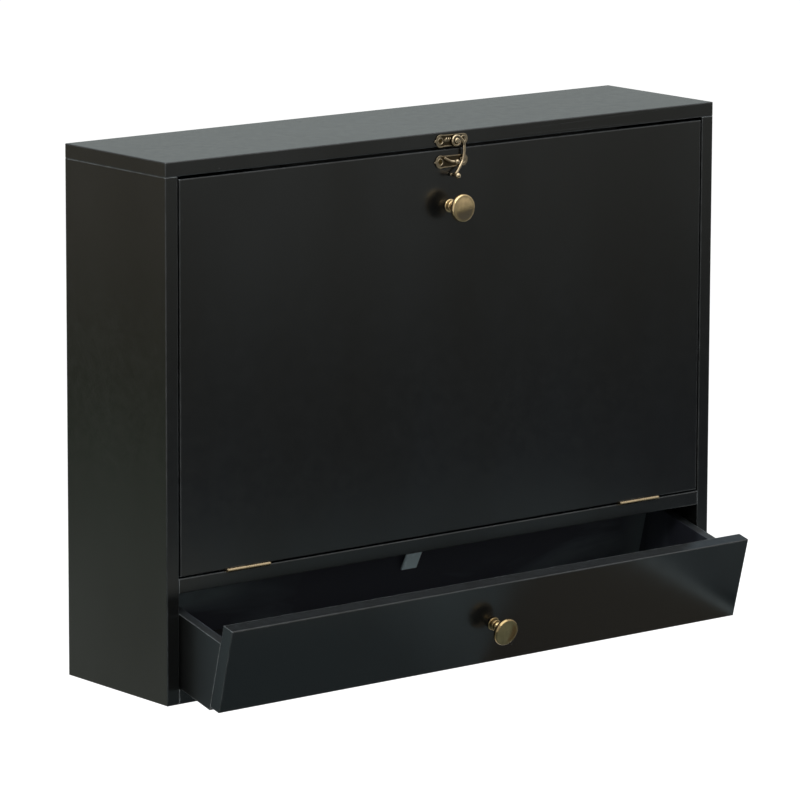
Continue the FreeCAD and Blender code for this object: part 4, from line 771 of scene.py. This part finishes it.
# The studio's cards, which the dark lacquer mirrors: dim walls, pieces of floor, and small
# strips by the drawer that all lie on one level. Each has its name, its corners, the axis
# that its shade runs along, and its shades as places on that axis with linear colours.
STRIP_LEVEL = -0.295
CARDS = (
    ("front_wall", ((-3, -2.6, -0.9), (6, -2.6, -0.9), (6, -2.6, 2.5), (-3, -2.6, 2.5)), "Z", (
        (-0.85, (0.08, 0.088, 0.12)), (-0.6, (0.09, 0.1, 0.095)), (-0.477, (0.15, 0.145, 0.12)),
        (-0.42, (0.37, 0.39, 0.36)), (0.2, (0.5, 0.5, 0.48)), (1.0, (0.9, 0.88, 0.84)),
        (2.5, (0.9, 0.88, 0.84)))),
    ("floor_card", ((-3, -2.6, -0.89), (6, -2.6, -0.89), (6, -0.8, -0.89), (-3, -0.8, -0.89)), "Y", (
        (-2.6, (0.08, 0.09, 0.12)), (-0.8, (0.08, 0.09, 0.12)))),
    ("side_wall", ((-2.4, 0.2, -0.9), (-2.4, 4.5, -0.9), (-2.4, 4.5, 1.6), (-2.4, 0.2, 1.6)), "Z", (
        (-0.9, (0.11, 0.24, 0.13)), (-0.67, (0.035, 0.03, 0.0)), (-0.5, (0.36, 0.33, 0.26)),
        (1.6, (0.4, 0.38, 0.33)))),
    ("side_floor_card", ((-2.4, -0.6, -0.89), (-0.35, -0.6, -0.89), (-0.35, 4.5, -0.89),
                         (-2.4, 4.5, -0.89)), "Y", (
        (-0.6, (0.43, 0.46, 0.41)), (4.5, (0.43, 0.46, 0.41)))),
    ("rear_wall", ((-1, 3.2, -0.9), (9, 3.2, -0.9), (9, 3.2, 6.0), (-1, 3.2, 6.0)), "Z", (
        (-0.9, (0.42, 0.455, 0.445)), (1.6, (0.43, 0.47, 0.46)), (2.4, (0.23, 0.28, 0.32)),
        (6.0, (0.23, 0.28, 0.32)))),
    ("overhead", ((-1.8, -2.4, 2.3), (1.2, -2.4, 2.3), (1.2, 0.4, 2.3), (-1.8, 0.4, 2.3)), "Y", (
        (-2.4, (3.6, 3.6, 3.5)), (0.4, (3.0, 3.05, 3.05)))),
    ("drawer_end_card", ((-0.45, -0.141, -0.36), (-0.3005, -0.141, -0.36),
                         (-0.3005, -0.141, -0.1), (-0.45, -0.141, -0.1)), "X", (
        (-0.45, (0.4, 0.5, 0.5)), (-0.34, (0.34, 0.43, 0.44)), (-0.3005, (0.16, 0.2, 0.22)))),
    ("knob_card", ((-0.5, -0.7, STRIP_LEVEL), (0.06, -0.7, STRIP_LEVEL), (0.06, -0.325, STRIP_LEVEL),
                   (-0.5, -0.325, STRIP_LEVEL)), "X", (
        (-0.3, (0.3, 0.32, 0.3)), (-0.05, (0.55, 0.54, 0.48)), (0.02, (0.55, 0.54, 0.48)),
        (0.06, (0.28, 0.35, 0.365)))),
    ("cool_card", ((0.06, -0.7, STRIP_LEVEL), (0.3, -0.7, STRIP_LEVEL), (0.2216, -0.393, STRIP_LEVEL),
                   (0.0037, -0.2, STRIP_LEVEL), (-0.5, -0.2, STRIP_LEVEL), (-0.5, -0.325, STRIP_LEVEL),
                   (0.06, -0.325, STRIP_LEVEL)), "X", (
        (-0.28, (0.125, 0.165, 0.175)), (-0.05, (0.145, 0.185, 0.195)), (0.05, (0.28, 0.35, 0.365)),
        (0.2, (0.28, 0.35, 0.365)))),
    ("warm_card", ((0.2216, -0.393, STRIP_LEVEL), (0.3194, -0.2, STRIP_LEVEL),
                   (0.0037, -0.2, STRIP_LEVEL)), "X", (
        (0.0, (0.145, 0.13, 0.107)), (0.3, (0.2, 0.18, 0.14)))),
    ("streak_card", ((0.2216, -0.393, STRIP_LEVEL), (0.252, -0.393, STRIP_LEVEL),
                     (0.3294, -0.2, STRIP_LEVEL), (0.3194, -0.2, STRIP_LEVEL)), "X", (
        (0.22, (0.3, 0.37, 0.385)), (0.33, (0.8, 0.95, 0.97)))),
    ("band_card", ((0.3294, -0.2, STRIP_LEVEL), (0.37, -0.2, STRIP_LEVEL),
                   (0.2973, -0.28, STRIP_LEVEL)), "X", (
        (0.3, (0.1, 0.14, 0.15)), (0.33, (0.03, 0.06, 0.08)))),
    ("corner_card", ((0.252, -0.393, STRIP_LEVEL), (0.2216, -0.393, STRIP_LEVEL),
                     (0.3, -0.7, STRIP_LEVEL), (0.6, -0.7, STRIP_LEVEL), (0.6, -0.2, STRIP_LEVEL),
                     (0.37, -0.2, STRIP_LEVEL), (0.2973, -0.28, STRIP_LEVEL)), "X", (
        (0.25, (0.3, 0.36, 0.38)), (0.33, (0.2, 0.25, 0.27)), (0.44, (0.29, 0.35, 0.365)),
        (0.6, (0.29, 0.35, 0.365)))),
)


class DESK_OT_stage(bpy.types.Operator):
    """Set up the camera, the lamps, the floor and the world"""

    bl_idname = "desk.stage"
    bl_label = "Set the stage"

    def execute(self, context):
        studio = context.scene.desk_studio
        self.set_camera(context, studio.lens)
        self.set_floor(studio.floor_level)
        self.set_world(context)
        lamp("key_box", (-1.7, -2.1, 2.3), 1.0, 34.0, (1.0, 0.985, 0.96), mirrored=True)
        lamp("fill_box", (2.6, -2.4, 0.9), 1.8, 10.0, (0.94, 0.97, 1.0))
        lamp("top_box", (0.2, -0.3, 2.6), 1.8, 14.0, (1.0, 1.0, 1.0))
        for name, corners, axis, stops in CARDS:
            card(name, corners, axis, stops)
        context.scene.view_settings.view_transform = "Standard"
        return {"FINISHED"}

    def set_camera(self, context, lens):
        """The camera that was fitted to the photograph's edges."""
        data = bpy.data.cameras.new("camera")
        data.sensor_width = SENSOR_WIDTH
        data.lens = lens
        data.shift_y = CAMERA_SHIFT
        data.clip_end = 100.0
        camera = bpy.data.objects.new("camera", data)
        heading = Euler((math.pi / 2 - CAMERA_DOWNWARDS, 0.0, CAMERA_HEADING)).to_matrix().to_4x4()
        camera.matrix_world = (Matrix.Translation(CAMERA_PLACE) @ heading
                               @ Matrix.Rotation(CAMERA_ROLL, 4, "Z"))
        context.collection.objects.link(camera)
        context.scene.camera = camera

    def set_floor(self, level):
        """A wide pale floor far below the hung desk, which keeps its shadow."""
        shape = bmesh.new()
        bmesh.ops.create_grid(shape, x_segments=1, y_segments=1, size=40.0,
                              matrix=Matrix.Translation((0, 0, level)))
        mesh = bpy.data.meshes.new("floor")
        shape.to_mesh(mesh)
        shape.free()
        floor = bpy.data.objects.new("floor", mesh)
        bpy.context.collection.objects.link(floor)
        material, tree, output, place = new_material("matt_white_floor_paint")
        paint = add_node(tree, "BsdfDiffuse", inputs={"Color": rgba(linear("#f1f1f1"))})
        away = add_node(tree, "VectorMath", {"operation": "LENGTH"}, {0: place})
        glow_share = add_node(tree, "MapRange", inputs={
            "Value": away.outputs["Value"], "From Min": 1.2, "From Max": 2.2, "To Min": 0.2,
            "To Max": 0.65})
        lift = add_node(tree, "Math", {"operation": "MULTIPLY"}, {
            0: seen_share(tree), 1: glow_share.outputs["Result"]})
        glow = add_node(tree, "Emission", inputs={
            "Color": (1.0, 1.0, 1.0, 1.0), "Strength": lift.outputs[0]})
        both = add_node(tree, "AddShader", inputs={0: paint.outputs[0], 1: glow.outputs[0]})
        tree.links.new(both.outputs[0], output.inputs["Surface"])
        mesh.materials.append(material)

    def set_world(self, context):
        """A white surround whose light on matt surfaces is softer than it looks."""
        world = bpy.data.worlds.new("studio_surround")
        world.use_nodes = True
        tree = world.node_tree
        tree.nodes.clear()
        output = add_node(tree, "OutputWorld")
        strength = add_node(tree, "MapRange", inputs={
            "Value": seen_share(tree), "To Min": 0.45, "To Max": 1.0})
        glow = add_node(tree, "Background", inputs={
            "Color": (1.0, 1.0, 1.0, 1.0), "Strength": strength.outputs["Result"]})
        tree.links.new(glow.outputs[0], output.inputs["Surface"])
        context.scene.world = world


OPERATORS = (
    DESK_OT_boards, DESK_OT_sheets, DESK_OT_knobs, DESK_OT_latch_plates, DESK_OT_latch_hook,
    DESK_OT_hinges, DESK_OT_small_parts, DESK_OT_stage,
)


class DESK_PT_panel(bpy.types.Panel):
    """Lists the desk's steps in the sidebar"""

    bl_label = "Drop-front desk"
    bl_idname = "DESK_PT_panel"
    bl_space_type = "VIEW_3D"
    bl_region_type = "UI"
    bl_category = "Desk"

    def draw(self, context):
        for operator in OPERATORS:
            self.layout.operator(operator.bl_idname)
        for settings in ("desk_finish", "desk_hardware", "desk_studio"):
            group = getattr(context.scene, settings)
            for name in group.bl_rna.properties.keys():
                if name not in ("rna_type", "name"):
                    self.layout.prop(group, name)


SETTINGS = (("desk_finish", DeskFinish), ("desk_hardware", DeskHardware), ("desk_studio", DeskStudio))
CLASSES = tuple(group for name, group in SETTINGS) + OPERATORS + (DESK_PT_panel,)


def register():
    """Registers every class and hangs the settings on the scene."""
    for item in CLASSES:
        bpy.utils.register_class(item)
    for name, group in SETTINGS:
        setattr(bpy.types.Scene, name, PointerProperty(type=group))


def unregister():
    """Takes the settings and the classes away again."""
    for name, group in SETTINGS:
        delattr(bpy.types.Scene, name)
    for item in reversed(CLASSES):
        bpy.utils.unregister_class(item)


def main():
    """Makes the whole scene."""
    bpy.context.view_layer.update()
    register()
    for operator in OPERATORS:
        group, name = operator.bl_idname.split(".")
        if getattr(getattr(bpy.ops, group), name)() != {"FINISHED"}:
            raise RuntimeError(f"{operator.bl_label} has not finished")


if __name__ == "__main__":
    main()
